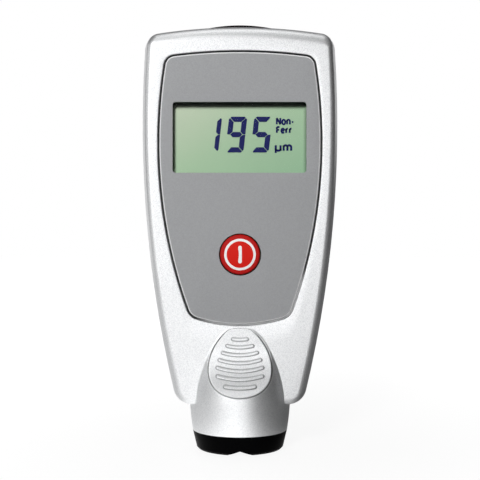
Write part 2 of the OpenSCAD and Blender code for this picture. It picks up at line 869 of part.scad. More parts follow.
// Back half of the collar, straight where it enters the rear shell
module collar_profile() {
    top = boss_z + wall;
    steps = 8;
    polygon(concat(
        [[0, collar_z]],
        [
            for (i = [0 : steps])
                let (z = mix(collar_z, boss_z, i / steps))
                [min(boss_radius(z), boss_back_r), z]
        ],
        [[boss_back_r, top], [0, top]]
    ));
}

// Rib from the back wall that carries the spring seat
module seat_rib() {
    z = seat_z + seat_t + seat_fit;
    difference() {
        translate([-seat_r - wall, 0, z]) cube([2 * (seat_r + wall), rear_depth - wall / 2, bulkhead_t]);
        translate([0, 0, z - slight]) cylinder(r = seat_neck_r + seat_fit, h = bulkhead_t + 2 * slight);
    }
}

// Walls and floor of the battery bay
module bay_tub() {
    plate(0, (bay_z + bay_top) / 2, 2 * (bay_half + bay_wall), bay_l + 2 * bay_wall, -rear_depth + wall / 2,
        bay_front_f + bay_floor);
}

module bay_space() {
    plate(0, (bay_z + bay_top) / 2, 2 * bay_half, bay_l, -rear_depth - through, bay_front_f);
}

// Inner wall that closes the channel of the cover
module channel_deck() {
    z0 = cover_z - cover_gap - bay_wall;
    z1 = body_top - wall;
    plate(0, (z0 + z1) / 2, cover_w + 2 * (rail_w + cover_gap + bay_wall), z1 - z0, cover_in_f,
        cover_in_f + cover_gap + bay_wall);
}

// Channel of the cover, open to the top end
module cover_space() {
    h = body_top + through - cover_z + cover_gap;
    z = cover_z - cover_gap + h / 2;
    rail_f = cover_in_f - cover_gap / 2;
    plate(0, z, cover_w + 2 * cover_gap, h, -rear_depth - through, cover_in_f + cover_gap);
    plate(0, z, cover_w + 2 * (rail_w + cover_gap), h, rail_f - rail_t - cover_gap / 2,
        cover_in_f + cover_gap);
}

module battery_cover() color(silver) difference() {
    union() {
        intersection() {
            rear_skin();
            plate(0, (cover_z + cover_top) / 2, cover_w, cover_top - cover_z, -rear_depth - through,
                cover_in_f);
        }
        plate(0, (cover_z + cover_top) / 2, cover_w + 2 * rail_w, cover_top - cover_z, cover_in_f - rail_t,
            cover_in_f);
    }
    for (i = [0 : grip_count - 1]) {
        z = cover_z + grip_start + i * grip_pitch;
        plate(0, z, cover_w / 2, grip_pitch / 2, -rear_depth - through, -rear_depth + grip_h);
    }
}

module front_panel() color(panel_grey) difference() {
    raise(floor_f, floor_f + panel_t) polygon([for (s = panel_line(0)) [s[0], s[1]]]);
    raise(floor_f - through, front_depth + through)
        translate([0, view_z]) rounded_rect(view_w, view_h, view_corner);
    peg(0, button_z, button_d / 2 + button_gap, floor_f - through, front_depth + through);
}

module display_window() color(clear) {
    plate(0, view_z, lens_w, lens_h, lens_f, lens_f + lens_t);
}

module lcd_cell() color(glass) {
    plate(0, view_z, lcd_w, lcd_h, lcd_f, deck_f);
}

// One bar of a digit, lying across, with pointed ends
module bar(length) {
    tip = length / 2 - bar_gap;
    half = digit_stroke / 2;
    polygon([
        [-tip, 0], [half - tip, -half], [tip - half, -half],
        [tip, 0], [tip - half, half], [half - tip, half]
    ]);
}

// Seven bars of a digit: top, upper right, lower right, bottom, lower left, upper left, middle
module digit(bars) {
    w = digit_w - digit_stroke;
    h = (digit_h - digit_stroke) / 2;
    centres = [[0, h], [w / 2, h / 2], [w / 2, -h / 2], [0, -h], [-w / 2, -h / 2], [-w / 2, h / 2], [0, 0]];
    for (i = [0 : 6]) {
        across = i % 3 == 0;
        if (bars[i] == 1) translate(centres[i]) rotate(across ? 0 : 90) bar(across ? w : h);
    }
}

module display_segments() color(navy) {
    readings = [[0, 1, 1, 0, 0, 0, 0], [1, 1, 1, 1, 0, 1, 1], [1, 0, 1, 1, 0, 1, 1]];
    raise(deck_f, deck_f + segment_t) for (i = [0 : 2]) {
        lean = [[1, tan(digit_slant), 0, 0], [0, 1, 0, 0], [0, 0, 1, 0], [0, 0, 0, 1]];
        translate([digit_x + (i - 1) * digit_pitch, view_z + digit_rise]) multmatrix(lean) digit(readings[i]);
    }
}

module display_reflector() color(steel) {
    plate(0, view_z, lcd_w, lcd_h - 2 * (strip_w + strip_inset), lcd_f - reflector_t, lcd_f);
}

module contact_strips() color(black) {
    for (s = [-1, 1]) {
        plate(0, view_z + s * (lcd_h - strip_w) / 2, lcd_w - 2 * strip_inset, strip_w, board_f, lcd_f);
    }
}

module lcd_frame() color(white) difference() {
    plate(0, view_z, lcd_w + 2 * frame_wall, lcd_h + 2 * frame_wall, board_f, deck_f - free_gap);
    plate(0, view_z, lcd_w + 2 * seat_fit, lcd_h + 2 * seat_fit, board_f - through, deck_f);
}

module circuit_board() color(board_green) difference() {
    raise(board_back_f, board_f) {
        translate([-board_half, board_step_z]) square([2 * board_half, board_top - board_step_z]);
        translate([-board_low_half, board_z]) square([2 * board_low_half, board_step_z + slight - board_z]);
        translate([-tongue_half, board_top - slight])
            square([2 * tongue_half, tongue_top - board_top + slight]);
    }
    at_board_screws() peg(0, 0, board_screw_r + seat_fit, board_back_f - through, board_f + through);
}

module microcontroller() color(black) {
    plate(-chip_x, chip_z, chip_w, chip_w, board_f, board_f + chip_h);
    for (s = [-1, 1], i = [-2 : 2]) {
        plate(-chip_x + s * (chip_w + pin_l) / 2, chip_z + i * chip_w / 6, pin_l, chip_w / 14, board_f,
            board_f + chip_h / 3);
    }
}

module signal_chip() color(black) {
    plate(chip_x, chip_z, chip_w * 0.7, chip_w, board_f, board_f + chip_h);
    for (s = [-1, 1], i = [-1 : 1]) {
        plate(chip_x + s * (chip_w * 0.7 + pin_l) / 2, chip_z + i * chip_w / 4, pin_l, chip_w / 14, board_f,
            board_f + chip_h / 3);
    }
}

module crystal() color(steel) {
    translate([-crystal_l / 2, -board_f - crystal_r, chip_z]) rotate([0, 90, 0])
        cylinder(r = crystal_r, h = crystal_l);
}

module capacitors() color(navy) {
    for (i = [-1 : 1]) {
        x = capacitor_x + i * capacitor_pitch;
        peg(x, sounder_z, capacitor_r, board_back_f - capacitor_h, board_back_f);
    }
}

module sounder() color(black) difference() {
    peg(-sounder_x, sounder_z, sounder_r, board_back_f - sounder_h, board_back_f);
    peg(-sounder_x, sounder_z, sounder_hole, board_back_f - 2 * sounder_h, board_back_f - sounder_h / 3);
}

module infrared_diodes() color(black) {
    for (s = [-1, 1]) {
        translate([s * diode_x, -(board_f + board_back_f) / 2, tongue_top]) {
            cylinder(r = diode_r, h = diode_h);
            translate([0, 0, diode_h]) sphere(diode_r);
        }
    }
}

module infrared_window() color(black) {
    lip_top = body_top - wall - free_gap;
    bulge_z = body_top + ir_proud - ir_r;
    intersection() {
        translate([-ir_w / 2, -ir_d / 2, lip_top - ir_lip_t]) cube([ir_w, ir_d, ir_r]);
        translate([0, ir_d, bulge_z]) rotate([90, 0, 0]) cylinder(r = ir_r, h = 2 * ir_d);
    }
    translate([-ir_w / 2 - ir_lip, -ir_d / 2, lip_top - ir_lip_t - wall])
        cube([ir_w + 2 * ir_lip, ir_d, ir_lip_t]);
    translate([-ir_w / 2, -ir_d / 2, lip_top - ir_lip_t - wall]) cube([ir_w, ir_d, wall + slight]);
}

module switch_body() color(black) difference() {
    plate(0, button_z, switch_w, switch_w, board_f, board_f + switch_h);
    peg(0, button_z, plunger_r + slide_fit, board_f + switch_h / 4, board_f + 2 * switch_h);
}

module switch_plunger() color(white) {
    peg(0, button_z, plunger_r, board_f + switch_h / 4 + button_travel + free_gap / 3, stem_f());
}

// Depth of the end of the button stem
function stem_f() = board_f + switch_h + button_travel + free_gap;

module button_body() {
    top_f = floor_f + panel_t + button_proud;
    flange_f = deck_f - free_gap;
    intersection() {
        peg(0, button_z, button_d / 2, flange_f - slight, top_f);
        translate([0, -top_f + button_dome_r, button_z]) sphere(button_dome_r, $fn = 360);
    }
    peg(0, button_z, button_d / 2 + button_flange, flange_f - button_flange_t, flange_f);
    peg(0, button_z, plunger_r + 0.4, stem_f(), flange_f - button_flange_t + slight);
}

// Ring and bar of the power symbol
module symbol_shape() {
    difference() {
        circle(ring_d / 2);
        circle(ring_d / 2 - ring_stroke);
    }
    symbol_bar();
}

// Bar with round ends
module symbol_bar() {
    square([bar_w, bar_l - bar_w], center = true);
    for (s = [-1, 1]) {
        translate([0, s * (bar_l - bar_w) / 2]) circle(bar_w / 2);
    }
}

module symbol_prism() {
    top_f = floor_f + panel_t + button_proud;
    raise(top_f - inlay_t, top_f + through) translate([0, button_z]) symbol_shape();
}

module power_button() color(red) difference() {
    button_body();
    symbol_prism();
}

// Depth of the button dome at a radius
function dome_f(r) = floor_f + panel_t + button_proud - button_dome_r + sqrt(pow(button_dome_r, 2) - r * r);

module button_symbol() color(white) {
    base_f = floor_f + panel_t + button_proud - inlay_t;
    outer = ring_d / 2;
    inner = outer - ring_stroke;
    translate([0, 0, button_z]) rotate([90, 0, 0]) rotate_extrude()
        polygon([[inner, base_f], [outer, base_f], [outer, dome_f(outer)], [inner, dome_f(inner)]]);
    raise(base_f, dome_f(bar_l / 2)) translate([0, button_z]) symbol_bar();
}

module probe_cap() color(black) difference() {
    rotate_extrude() difference() {
        union() {
            polygon([
                [0, 0], [foot_r - foot_round, 0], [foot_r, foot_round],
                [collar_r, collar_z], [0, collar_z]
            ]);
            square([spigot_r, collar_z + spigot_l]);
        }
        square([hole_r, 3 * collar_z]);
    }
    translate([0, boss_r, 0]) rotate([90, 0, 0]) linear_extrude(2 * boss_r)
        polygon([
            [-groove_w / 2, 0], [0, groove_h], [groove_w / 2, 0],
            [groove_w / 2, -through], [-groove_w / 2, -through]
        ]);
}

module probe_guide() color(steel) difference() {
    union() {
        tube(guide_r, hole_r, guide_z, guide_top - guide_z);
        tube(guide_r + guide_rim, hole_r, bulkhead_z - seat_fit - guide_rim, guide_rim);
        tube(guide_r + guide_rim, hole_r, bulkhead_z + bulkhead_t + seat_fit, guide_rim);
    }
    translate([0, 0, ledge_z]) cylinder(r = flange_r + free_gap, h = guide_top);
}

module probe_sleeve() color(steel) difference() {
    union() {
        translate([0, 0, sleeve_z]) cylinder(r = sleeve_r, h = flange_z - sleeve_z + slight);
        translate([0, 0, flange_z]) cylinder(r = flange_r, h = flange_t);
        translate([0, 0, flange_z]) cylinder(r = peg_r, h = flange_t + 2);
    }
    translate([0, 0, sleeve_z + sleeve_floor])
        cylinder(r = sleeve_r - sleeve_wall, h = bobbin_l + 2 * seat_fit);
    translate([0, 0, sleeve_z - through]) cylinder(r = core_r + seat_fit, h = sleeve_floor + 2 * through);
}

module probe_core() color(black) {
    translate([0, 0, sleeve_z]) cylinder(r = core_r, h = bobbin_l + sleeve_floor);
}

module probe_tip() color(steel) intersection() {
    cylinder(r = tip_r, h = sleeve_z);
    translate([0, 0, tip_ball_r]) sphere(tip_ball_r);
}

module coil_bobbin() color(white) {
    tube(core_r + seat_fit + bobbin_wall, core_r + seat_fit, bobbin_z, bobbin_l);
    for (i = [0 : 2]) {
        tube(bobbin_r, core_r + seat_fit, bobbin_z + i * (coil_l + bobbin_t), bobbin_t);
    }
}

module winding(z) {
    tube(coil_r, core_r + seat_fit + bobbin_wall, z, coil_l);
}

module drive_coil() color(copper) {
    winding(bobbin_z + coil_l + 2 * bobbin_t);
}

module pickup_coil() color(copper) {
    winding(bobbin_z + bobbin_t);
}

module probe_spring() color(steel) {
    helix(spring_r, spring_r, spring_z, spring_l, spring_turns, spring_wire);
}

module spring_seat() color(black) {
    groove_z = seat_z + seat_t;
    translate([0, 0, seat_z]) cylinder(r = seat_r, h = seat_t);
    translate([0, 0, seat_z]) cylinder(r = seat_neck_r, h = 2 * seat_t + bulkhead_t + 2 * seat_fit);
    translate([0, 0, groove_z + bulkhead_t + 2 * seat_fit]) cylinder(r = seat_r, h = seat_t);
    translate([0, 0, seat_z - 2]) cylinder(r = peg_r, h = 2 + slight);
}

// One cell, its stud upward
module cell() {
    edge = 0.4;
    rotate_extrude() polygon([[0, 0], [cell_d / 2 - edge, 0], [cell_d / 2, edge], [cell_d / 2, cell_l - edge],
        [cell_d / 2 - edge, cell_l], [stud_r, cell_l], [stud_r, cell_l + stud_l], [0, cell_l + stud_l]]);
}

module cell_left() color(cell_blue) {
    translate([-cell_x, -cell_f, bay_z + contact_l]) cell();
}

module cell_right() color(cell_blue) {
    translate([cell_x, -cell_f, bay_top - contact_l]) rotate([180, 0, 0]) cell();
}

module contact_springs() color(steel) {
    translate([-cell_x, -cell_f, bay_z])
        helix(contact_r, contact_tip_r, 0, contact_l, contact_turns, contact_wire);
    translate([cell_x, -cell_f, bay_top]) rotate([180, 0, 0])
        helix(contact_r, contact_tip_r, 0, contact_l, contact_turns, contact_wire);
}

module contact_plates() color(steel) {
    plate(cell_x, bay_z + plate_t / 2, plate_w, plate_t, cell_f - plate_w / 2, cell_f + plate_w / 2);
    plate(-cell_x, bay_top - plate_t / 2, plate_w, plate_t, cell_f - plate_w / 2, cell_f + plate_w / 2);
}

// Screw with a cross recess, its head toward the back
module screw(r, head_r, head_h, seat_f, end_f) {
    slot = head_r * 0.3;
    difference() {
        union() {
            peg(0, 0, r, seat_f - slight, end_f);
            peg(0, 0, head_r, seat_f - head_h, seat_f);
        }
        for (a = [0, 90]) {
            rotate([0, a, 0]) plate(0, 0, 1.3 * head_r, slot, seat_f - 2 * head_h, seat_f - head_h / 2);
        }
    }
}

module board_screws() color(steel) {
    at_board_screws()
        screw(board_screw_r, board_head_r, board_head_h, board_back_f, board_f + lcd_t - free_gap);
}

module case_screws() color(steel) {
    at_case_screws() screw(screw_r, screw_head_r, screw_head_h, -screw_seat, screw_reach);
}
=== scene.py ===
"""Looks of the coating thickness gauge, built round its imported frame."""
import json
import math

import bmesh
import bpy
import numpy as np
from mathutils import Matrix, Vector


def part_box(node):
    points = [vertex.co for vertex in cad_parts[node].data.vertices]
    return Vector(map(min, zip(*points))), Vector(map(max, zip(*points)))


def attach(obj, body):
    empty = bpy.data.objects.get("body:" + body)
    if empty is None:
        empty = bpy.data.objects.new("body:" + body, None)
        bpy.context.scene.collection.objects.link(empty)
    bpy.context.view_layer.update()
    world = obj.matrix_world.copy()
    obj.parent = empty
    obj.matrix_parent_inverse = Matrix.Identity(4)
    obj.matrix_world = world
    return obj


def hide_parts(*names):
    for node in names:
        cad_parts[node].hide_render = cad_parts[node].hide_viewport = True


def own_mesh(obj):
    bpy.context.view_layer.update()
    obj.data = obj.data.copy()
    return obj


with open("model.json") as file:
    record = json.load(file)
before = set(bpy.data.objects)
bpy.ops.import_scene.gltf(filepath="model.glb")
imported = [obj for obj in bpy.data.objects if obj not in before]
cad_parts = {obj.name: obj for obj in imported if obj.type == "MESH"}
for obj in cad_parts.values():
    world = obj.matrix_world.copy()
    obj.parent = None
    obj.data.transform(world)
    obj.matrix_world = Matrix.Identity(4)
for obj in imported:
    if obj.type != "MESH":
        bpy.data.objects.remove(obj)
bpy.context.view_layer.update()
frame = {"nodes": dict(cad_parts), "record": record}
MM = 0.001

# Sizes in millimetres: x to the right, f toward the front, z up from the foot

# Housing: outline, depth, drafts, rounds, walls and the joint between its two halves
BODY_HALF, BODY_WIDE_Z, BODY_SIDE_R = 28.9, 95.3, 337
BODY_TOP, BODY_BOTTOM, BODY_END_R = 124.2, 11.9, 160
BODY_TOP_CORNER, BODY_LOW_CORNER, LEAST_CORNER = 5, 5.6, 1.2
FRONT_DEPTH, FLOOR_F, DECK_F = 8.0, 6.9, 5.4
FRONT_DRAFT, REAR_DRAFT = math.tan(math.radians(11)), math.tan(math.radians(4))
FLANK_ROUND, TOP_ROLL, TOP_ROLL_H = 1.8, 3.9, 3.4
WALL = 1.8
JOINT_F, JOINT_IN, JOINT_EDGE_F, JOINT_EDGE_IN, JOINT_TOP_F = 0.02, 0.2, 0.12, 0.06, 0.3
WINDOW_HALF, WINDOW_RISE = 10.35, 0.79
SLOT_SIDE, SLOT_H, SLOT_Z, SLOT_R, SLOT_FRONT = 0.2, 9.0, 122.5, 0.3, 0.1
PROBE_LOW, PROBE_HIGH, PROBE_IN = 6, 34, 1.0
CUT_BACK, CUT_FRONT = -1.0, 12.0

# Panel: outline, place in its pocket, rim and display opening; painted shade in the pocket's groove and a
# painted highlight on the rim
PANEL_HALF, PANEL_WIDE_Z, PANEL_SIDE_R = 23.4, 89.6, 143
PANEL_TOP, PANEL_TOP_R, PANEL_BOTTOM, PANEL_BOTTOM_R = 115.7, 149, 36.9, 42
PANEL_TOP_CORNER, PANEL_LOW_CORNER, PANEL_MID_Z = 3, 4, 75.0
PANEL_F, PANEL_GAP, PANEL_IN, PANEL_RIM = 7.9, 0.35, 0.1, 0.42
POCKET_LIP, POCKET_LEDGE = 0.3, 2.5
POCKET_SHADE, POCKET_NEAR, POCKET_SLACK, POCKET_DARK_RUN = 0.97, 0.25, 0.05, 0.2
# Painted shade in the groove grows less toward the foot, where the lower walls face the light
SHADE_FOOT_LEAST, SHADE_FOOT_MORE, SHADE_FOOT_Z, SHADE_FOOT_X, SHADE_FOOT_TILT, SHADE_FOOT_RUN = 0.45, 0.55, 37, 10, 0.45, 3
RIM_FROM, RIM_TO, OPENING_EDGE = 0.2, 0.97, 0.1
VIEW_X, VIEW_W, VIEW_H, VIEW_Z, VIEW_R = -0.14, 38.68, 20.5, 90.95, 0.9

# Button and the white mark in it
BUTTON_Z, BUTTON_R, BUTTON_TOP, BUTTON_LOW = 57.1, 5.8, 8.5, 5.6
BUTTON_GAP, BUTTON_ROUND, DOME_R = 0.3, 0.45, 40.0
MARK_IN, MARK_OUT, MARK_BAR_W, MARK_BAR_L = 3.84, 4.56, 0.52, 2.55
MARK_PROUD, MARK_ROOT = 0.025, 0.3

# Boss over the probe: profile, crease, scoop, groove and ridges, with painted shade in the groove and along
# the ridges' edges
COLLAR_Z, COLLAR_R = 5.5, 13.97
BOSS_Z, BOSS_R, BOSS_END, BOSS_WALL, BOSS_REACH = 14.5, 14.785, 36.02, 1.6, 1.6
TIP_Z, TIP_R, TIP_POWER = 36.4, 8.3, 1.75
TIP_LOW, TIP_RISE, TIP_ROUND = 7.9, 0.85, 0.6
FOOT_X, FACE_UNDER = 13.0, 0.02
CREASE, CREASE_LEAST, CREASE_OVER, CREASE_RUN = 0.9, 0.06, 0.2, 3
EDGE_SINK, EDGE_START, EDGE_RUN, EDGE_LEAST = 0.06, 0.985, 0.015, 0.5
SCOOP_F, SCOOP_R, SCOOP_Z, SCOOP_LOW, SCOOP_SOFT = 8.2, 20.0, 31.36, 14, 0.15
GROOVE_W, GROOVE_DEPTH, GROOVE_OUT, GROOVE_SLOPE, GROOVE_SHADE = 0.17, 0.2, 0.05, 0.2, 0.92
RIDGE_COUNT, RIDGE_Z, RIDGE_R, RIDGE_PITCH = 7, 45.2, 12.66, 2.22
RIDGE_W, RIDGE_H, RIDGE_HALF, RIDGE_FADE = 0.9, 0.42, 7.0, 0.5
RIDGE_MID, RIDGE_UP, RIDGE_DOWN = 22.6, 11.5, 4.6
RIDGE_UP_CUT, RIDGE_UP_POWER, RIDGE_DOWN_CUT, RIDGE_DOWN_POWER = 0.84, 1.75, 0.74, 2.6
# Painted shade along the ridges' edges, stronger on their lower side
RIDGE_LINE, RIDGE_LINE_AT, RIDGE_LINE_OVER = 0.14, 1.08, 0.3
RIDGE_SHADE_BELOW, RIDGE_SHADE_ABOVE = 0.7, 0.4

# Display ink, and the probe's spring
INK_DEPTH, WORD_DEPTH = 0.1, 0.08
BAR_GAP, BAR_CORNER, THIN_BAR, FREE_CUT = 0.14, 0.75, 0.84, 0.7
SPRING_R, SPRING_WIRE, SPRING_TURNS = 2.85, 0.25, 6


# Meshes

def grid_quads(rows, cols, wrap_rows=False, wrap_cols=False):
    """Quads of a grid of rows by cols points, with the last row or column joined to the first where asked."""
    j = np.arange(rows if wrap_rows else rows - 1)[:, None]
    i = np.arange(cols if wrap_cols else cols - 1)[None, :]
    j1, i1 = (j + 1) % rows, (i + 1) % cols
    quads = np.stack([j * cols + i, j * cols + i1, j1 * cols + i1, j1 * cols + i], -1)
    return quads.reshape(-1, 4)


def wrapped(grid, wrap_rows=False):
    """A grid of points that closes round its columns, and round its rows where asked, with its quads."""
    return grid, grid_quads(*grid.shape[:2], wrap_rows=wrap_rows, wrap_cols=True)


def capped(grid):
    """A grid with one more row at each end, which draws that end in to its middle."""
    ends = [np.broadcast_to(row.mean(0), row.shape)[None] for row in (grid[0], grid[-1])]
    return np.concatenate([ends[0], grid, ends[1]])


def fill_mesh(name, points, quads):
    """Mesh from points given as x, f, z in millimetres, with f turned to the frame's minus y."""
    points = np.asarray(points, float).reshape(-1, 3)
    xyz = np.stack([points[:, 0], -points[:, 1], points[:, 2]], 1) * MM
    mesh = bpy.data.meshes.new(name)
    mesh.from_pydata(xyz.tolist(), [], np.asarray(quads).tolist())
    return mesh


def join_meshes(name, parts):
    """One mesh from several lists of points and quads."""
    points, quads, count = [], [], 0
    for p, q in parts:
        p = np.asarray(p, float).reshape(-1, 3)
        points.append(p)
        quads.append(np.asarray(q) + count)
        count += len(p)
    return fill_mesh(name, np.concatenate(points), np.concatenate(quads))


def smooth(mesh, sharp):
    """Faces smooth, with edges above the given angle kept sharp."""
    mesh.polygons.foreach_set("use_smooth", np.ones(len(mesh.polygons), bool))
    mesh.set_sharp_from_angle(angle=math.radians(sharp))


def tidy_mesh(mesh, sharp):
    """Doubles merged, normals turned outward, faces smooth with edges above the given angle kept sharp."""
    b = bmesh.new()
    b.from_mesh(mesh)
    bmesh.ops.remove_doubles(b, verts=b.verts, dist=1e-7)
    bmesh.ops.dissolve_degenerate(b, edges=b.edges, dist=1e-7)
    bmesh.ops.recalc_face_normals(b, faces=b.faces)
    b.to_mesh(mesh)
    b.free()
    smooth(mesh, sharp)
    mesh.update()


def points_of(mesh):
    """Points of a mesh as x, f, z in millimetres."""
    flat = np.empty(3 * len(mesh.vertices))
    mesh.vertices.foreach_get("co", flat)
    return flat.reshape(-1, 3) * [1 / MM, -1 / MM, 1 / MM]


def mark(mesh, name, values):
    """A number for each point of a mesh, which a finish reads by its name."""
    data = mesh.attributes.new(name, "FLOAT", "POINT").data
    data.foreach_set("value", np.asarray(values, float).ravel())


def new_object(name, data):
    """An object that stands in the scene."""
    made = bpy.data.objects.new(name, data)
    bpy.context.scene.collection.objects.link(made)
    return made


def dress(piece, body, nodes):
    """A piece put on its body, in place of the CAD nodes it stands for."""
    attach(piece, body)
    if nodes:
        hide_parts(*nodes)
    return piece


def add_piece(name, mesh, body, nodes, slot, sharp):
    """A finished piece with the finish of its slot."""
    tidy_mesh(mesh, sharp)
    mesh.materials.append(FINISHES[slot])
    return dress(new_object(name, mesh), body, nodes)


# Outlines

def meeting(c1, r1, c2, r2, upper):
    """Meeting point of two circles: the foot of the common chord, moved along it by half its length."""
    v = c2 - c1
    d = np.hypot(*v)
    a = (d * d + r1 * r1 - r2 * r2) / (2 * d)
    h = math.sqrt(r1 * r1 - a * a)
    u = v / d
    q = c1 + a * u + h * np.array([-u[1], u[0]])
    s = c1 + a * u - h * np.array([-u[1], u[0]])
    return q if (q[1] > s[1]) == upper else s


def bearing(centre, point):
    """Angle of a point seen from a centre."""
    return math.atan2(point[1] - centre[1], point[0] - centre[0])


def outline(half, side_z, side_r, top, top_r, bottom, bottom_r, rt, rb, counts=(24, 22, 70, 26, 36)):
    """Closed outline of four large arcs joined by corner arcs: place, outward direction and share of the
    top end."""
    cs = np.array([half - side_r, side_z])
    ct, cb = np.array([0, top - top_r]), np.array([0, bottom + bottom_r])
    kt = meeting(cs, side_r - rt, ct, top_r - rt, True)
    kb = meeting(cs, side_r - rb, cb, bottom_r - rb, False)
    low, a_sb, a_st, a_tt = bearing(cb, kb), bearing(cs, kb), bearing(cs, kt), bearing(ct, kt)
    arcs = [(cb, bottom_r, -math.pi / 2, low, 0, 0), (kb, rb, low, a_sb, 0, 0),
            (cs, side_r, a_sb, a_st, 0, 0), (kt, rt, a_st, a_tt, 0, 1),
            (ct, top_r, a_tt, math.pi / 2, 1, 1)]
    place, out, end = [], [], []
    for (c, r, a0, a1, e0, e1), n in zip(arcs, counts):
        t = np.arange(n) / n
        a = a0 + (a1 - a0) * t
        d = np.stack([np.cos(a), np.sin(a)], 1)
        place.append(c + r * d)
        out.append(d)
        end.append(e0 + (e1 - e0) * t * t * (3 - 2 * t))
    place = np.concatenate(place + [np.array([[0, top]])])
    out = np.concatenate(out + [np.array([[0, 1]])])
    end = np.concatenate(end + [np.ones(1)])
    flip = np.array([-1, 1])
    return (np.concatenate([place, place[-2:0:-1] * flip]), np.concatenate([out, out[-2:0:-1] * flip]),
            np.concatenate([end, end[-2:0:-1]]))


def body_outline(side, top):
    """Housing outline moved inward by one amount at the flanks and foot and another at the top."""
    return outline(BODY_HALF - side, BODY_WIDE_Z, BODY_SIDE_R - side, BODY_TOP - top, BODY_END_R - top,
                   BODY_BOTTOM + side, BODY_END_R - side,
                   max(BODY_TOP_CORNER - (side + top) / 2, LEAST_CORNER),
                   max(BODY_LOW_CORNER - side, LEAST_CORNER))


def panel_outline(grow):
    """Places of the inset panel's outline, grown outward by an amount."""
    return outline(PANEL_HALF + grow, PANEL_WIDE_Z, PANEL_SIDE_R + grow, PANEL_TOP + grow, PANEL_TOP_R + grow,
                   PANEL_BOTTOM - grow, PANEL_BOTTOM_R + grow,
                   PANEL_TOP_CORNER + grow, PANEL_LOW_CORNER + grow)[0]


def rounded_window(w, h, z, r, n=10):
    """Closed outline of a rectangle with round corners, counterclockwise from the right side."""
    a = np.radians(np.linspace(0, 90, n))
    d = np.stack([np.cos(a), np.sin(a)], 1) * r
    c = np.array([w / 2 - r, h / 2 - r])
    q = [c + d, (c + d[::-1]) * [-1, 1], (c + d) * [-1, -1], (c + d[::-1]) * [1, -1]]
    return np.concatenate(q) + [0, z]


def at_depth(place, f):
    """Ring of outline points at one depth, or at a depth for each point."""
    return np.stack([place[:, 0], np.broadcast_to(f, len(place)), place[:, 1]], 1)


# Forms of the housing

def shell_rings():
    """Rings of the front shell: up the drafted wall, over a quarter ellipse, across the face, down the
    pocket, through the opening and back inside."""
    base, out, end = body_outline(0, 0)
    b = FLANK_ROUND + (TOP_ROLL_H - FLANK_ROUND) * end
    side = FRONT_DRAFT * (FRONT_DEPTH - FLANK_ROUND) + FLANK_ROUND
    top = FRONT_DRAFT * (FRONT_DEPTH - TOP_ROLL_H) + TOP_ROLL
    edge = body_outline(side, top)[0]
    rings = [at_depth(base - JOINT_IN * out, JOINT_F), at_depth(base - JOINT_EDGE_IN * out, JOINT_EDGE_F)]
    for share in np.linspace(0, 1, 6):
        f = JOINT_TOP_F + (FRONT_DEPTH - b - JOINT_TOP_F) * share
        rings.append(at_depth(base - (FRONT_DRAFT * f)[:, None] * out, f))
    start = base - (FRONT_DRAFT * (FRONT_DEPTH - b))[:, None] * out
    for a in np.radians(np.linspace(0, 90, 17)[1:]):
        rings.append(at_depth(start + (edge - start) * (1 - math.cos(a)), FRONT_DEPTH - b + b * math.sin(a)))
    rim = panel_outline(PANEL_GAP + POCKET_LIP)
    for share in (0.25, 0.5, 0.75, 1):
        rings.append(at_depth(edge + (rim - edge) * share, FRONT_DEPTH))
    for a in np.radians((30, 60, 90)):
        lip = panel_outline(PANEL_GAP + POCKET_LIP * (1 - math.sin(a)))
        rings.append(at_depth(lip, FRONT_DEPTH - POCKET_LIP * (1 - math.cos(a))))
    rings.append(at_depth(panel_outline(PANEL_GAP), FLOOR_F))
    rings.append(at_depth(panel_outline(-POCKET_LEDGE), FLOOR_F))
    rings.append(at_depth(panel_outline(-POCKET_LEDGE), DECK_F))
    inner = FRONT_DRAFT * (DECK_F - FLANK_ROUND)
    rings.append(at_depth(base - (WALL + inner + FLANK_ROUND) * out, DECK_F))
    rings.append(at_depth(base - (WALL + inner) * out, DECK_F - FLANK_ROUND))
    rings.append(at_depth(base - WALL * out, JOINT_F))
    return np.stack(rings)


def boss_radius(z):
    """Radius of the boss: a quarter sine from collar to widest ring, then a power curve to the tip."""
    up = np.clip((z - COLLAR_Z) / (BOSS_Z - COLLAR_Z), 0, 1)
    low = COLLAR_R + (BOSS_R - COLLAR_R) * np.sin(np.pi / 2 * up)
    high = BOSS_R - (BOSS_R - TIP_R) * np.clip((z - BOSS_Z) / (TIP_Z - BOSS_Z), 0, None) ** TIP_POWER
    return np.where(z <= BOSS_Z, low, high)


def face_depth(x, z):
    """Depth of the housing's front near its foot: the drafted wall, a quarter ellipse, the flat face."""
    d = z - (BODY_BOTTOM + x * x / (2 * BODY_END_R))
    wall = FRONT_DRAFT * (FRONT_DEPTH - FLANK_ROUND)
    roll = np.clip((wall + FLANK_ROUND - d) / FLANK_ROUND, 0, 1)
    rounded = FRONT_DEPTH - FLANK_ROUND + FLANK_ROUND * np.sqrt(1 - roll * roll)
    return np.where(d < wall, d / FRONT_DRAFT, rounded)


def soft_max(a, b, r):
    """Larger of two heights, with the crease between them filled by a parabola of width r."""
    h = np.clip(r - np.abs(a - b), 0, None)
    return np.maximum(a, b) + h * h / (4 * r)


def scoop_depth(z):
    """Depth of the finger scoop: level above, then a circle that climbs toward the foot."""
    down = np.clip(SCOOP_Z - z, 0, SCOOP_R)
    return SCOOP_F + SCOOP_R - np.sqrt(SCOOP_R ** 2 - down * down)


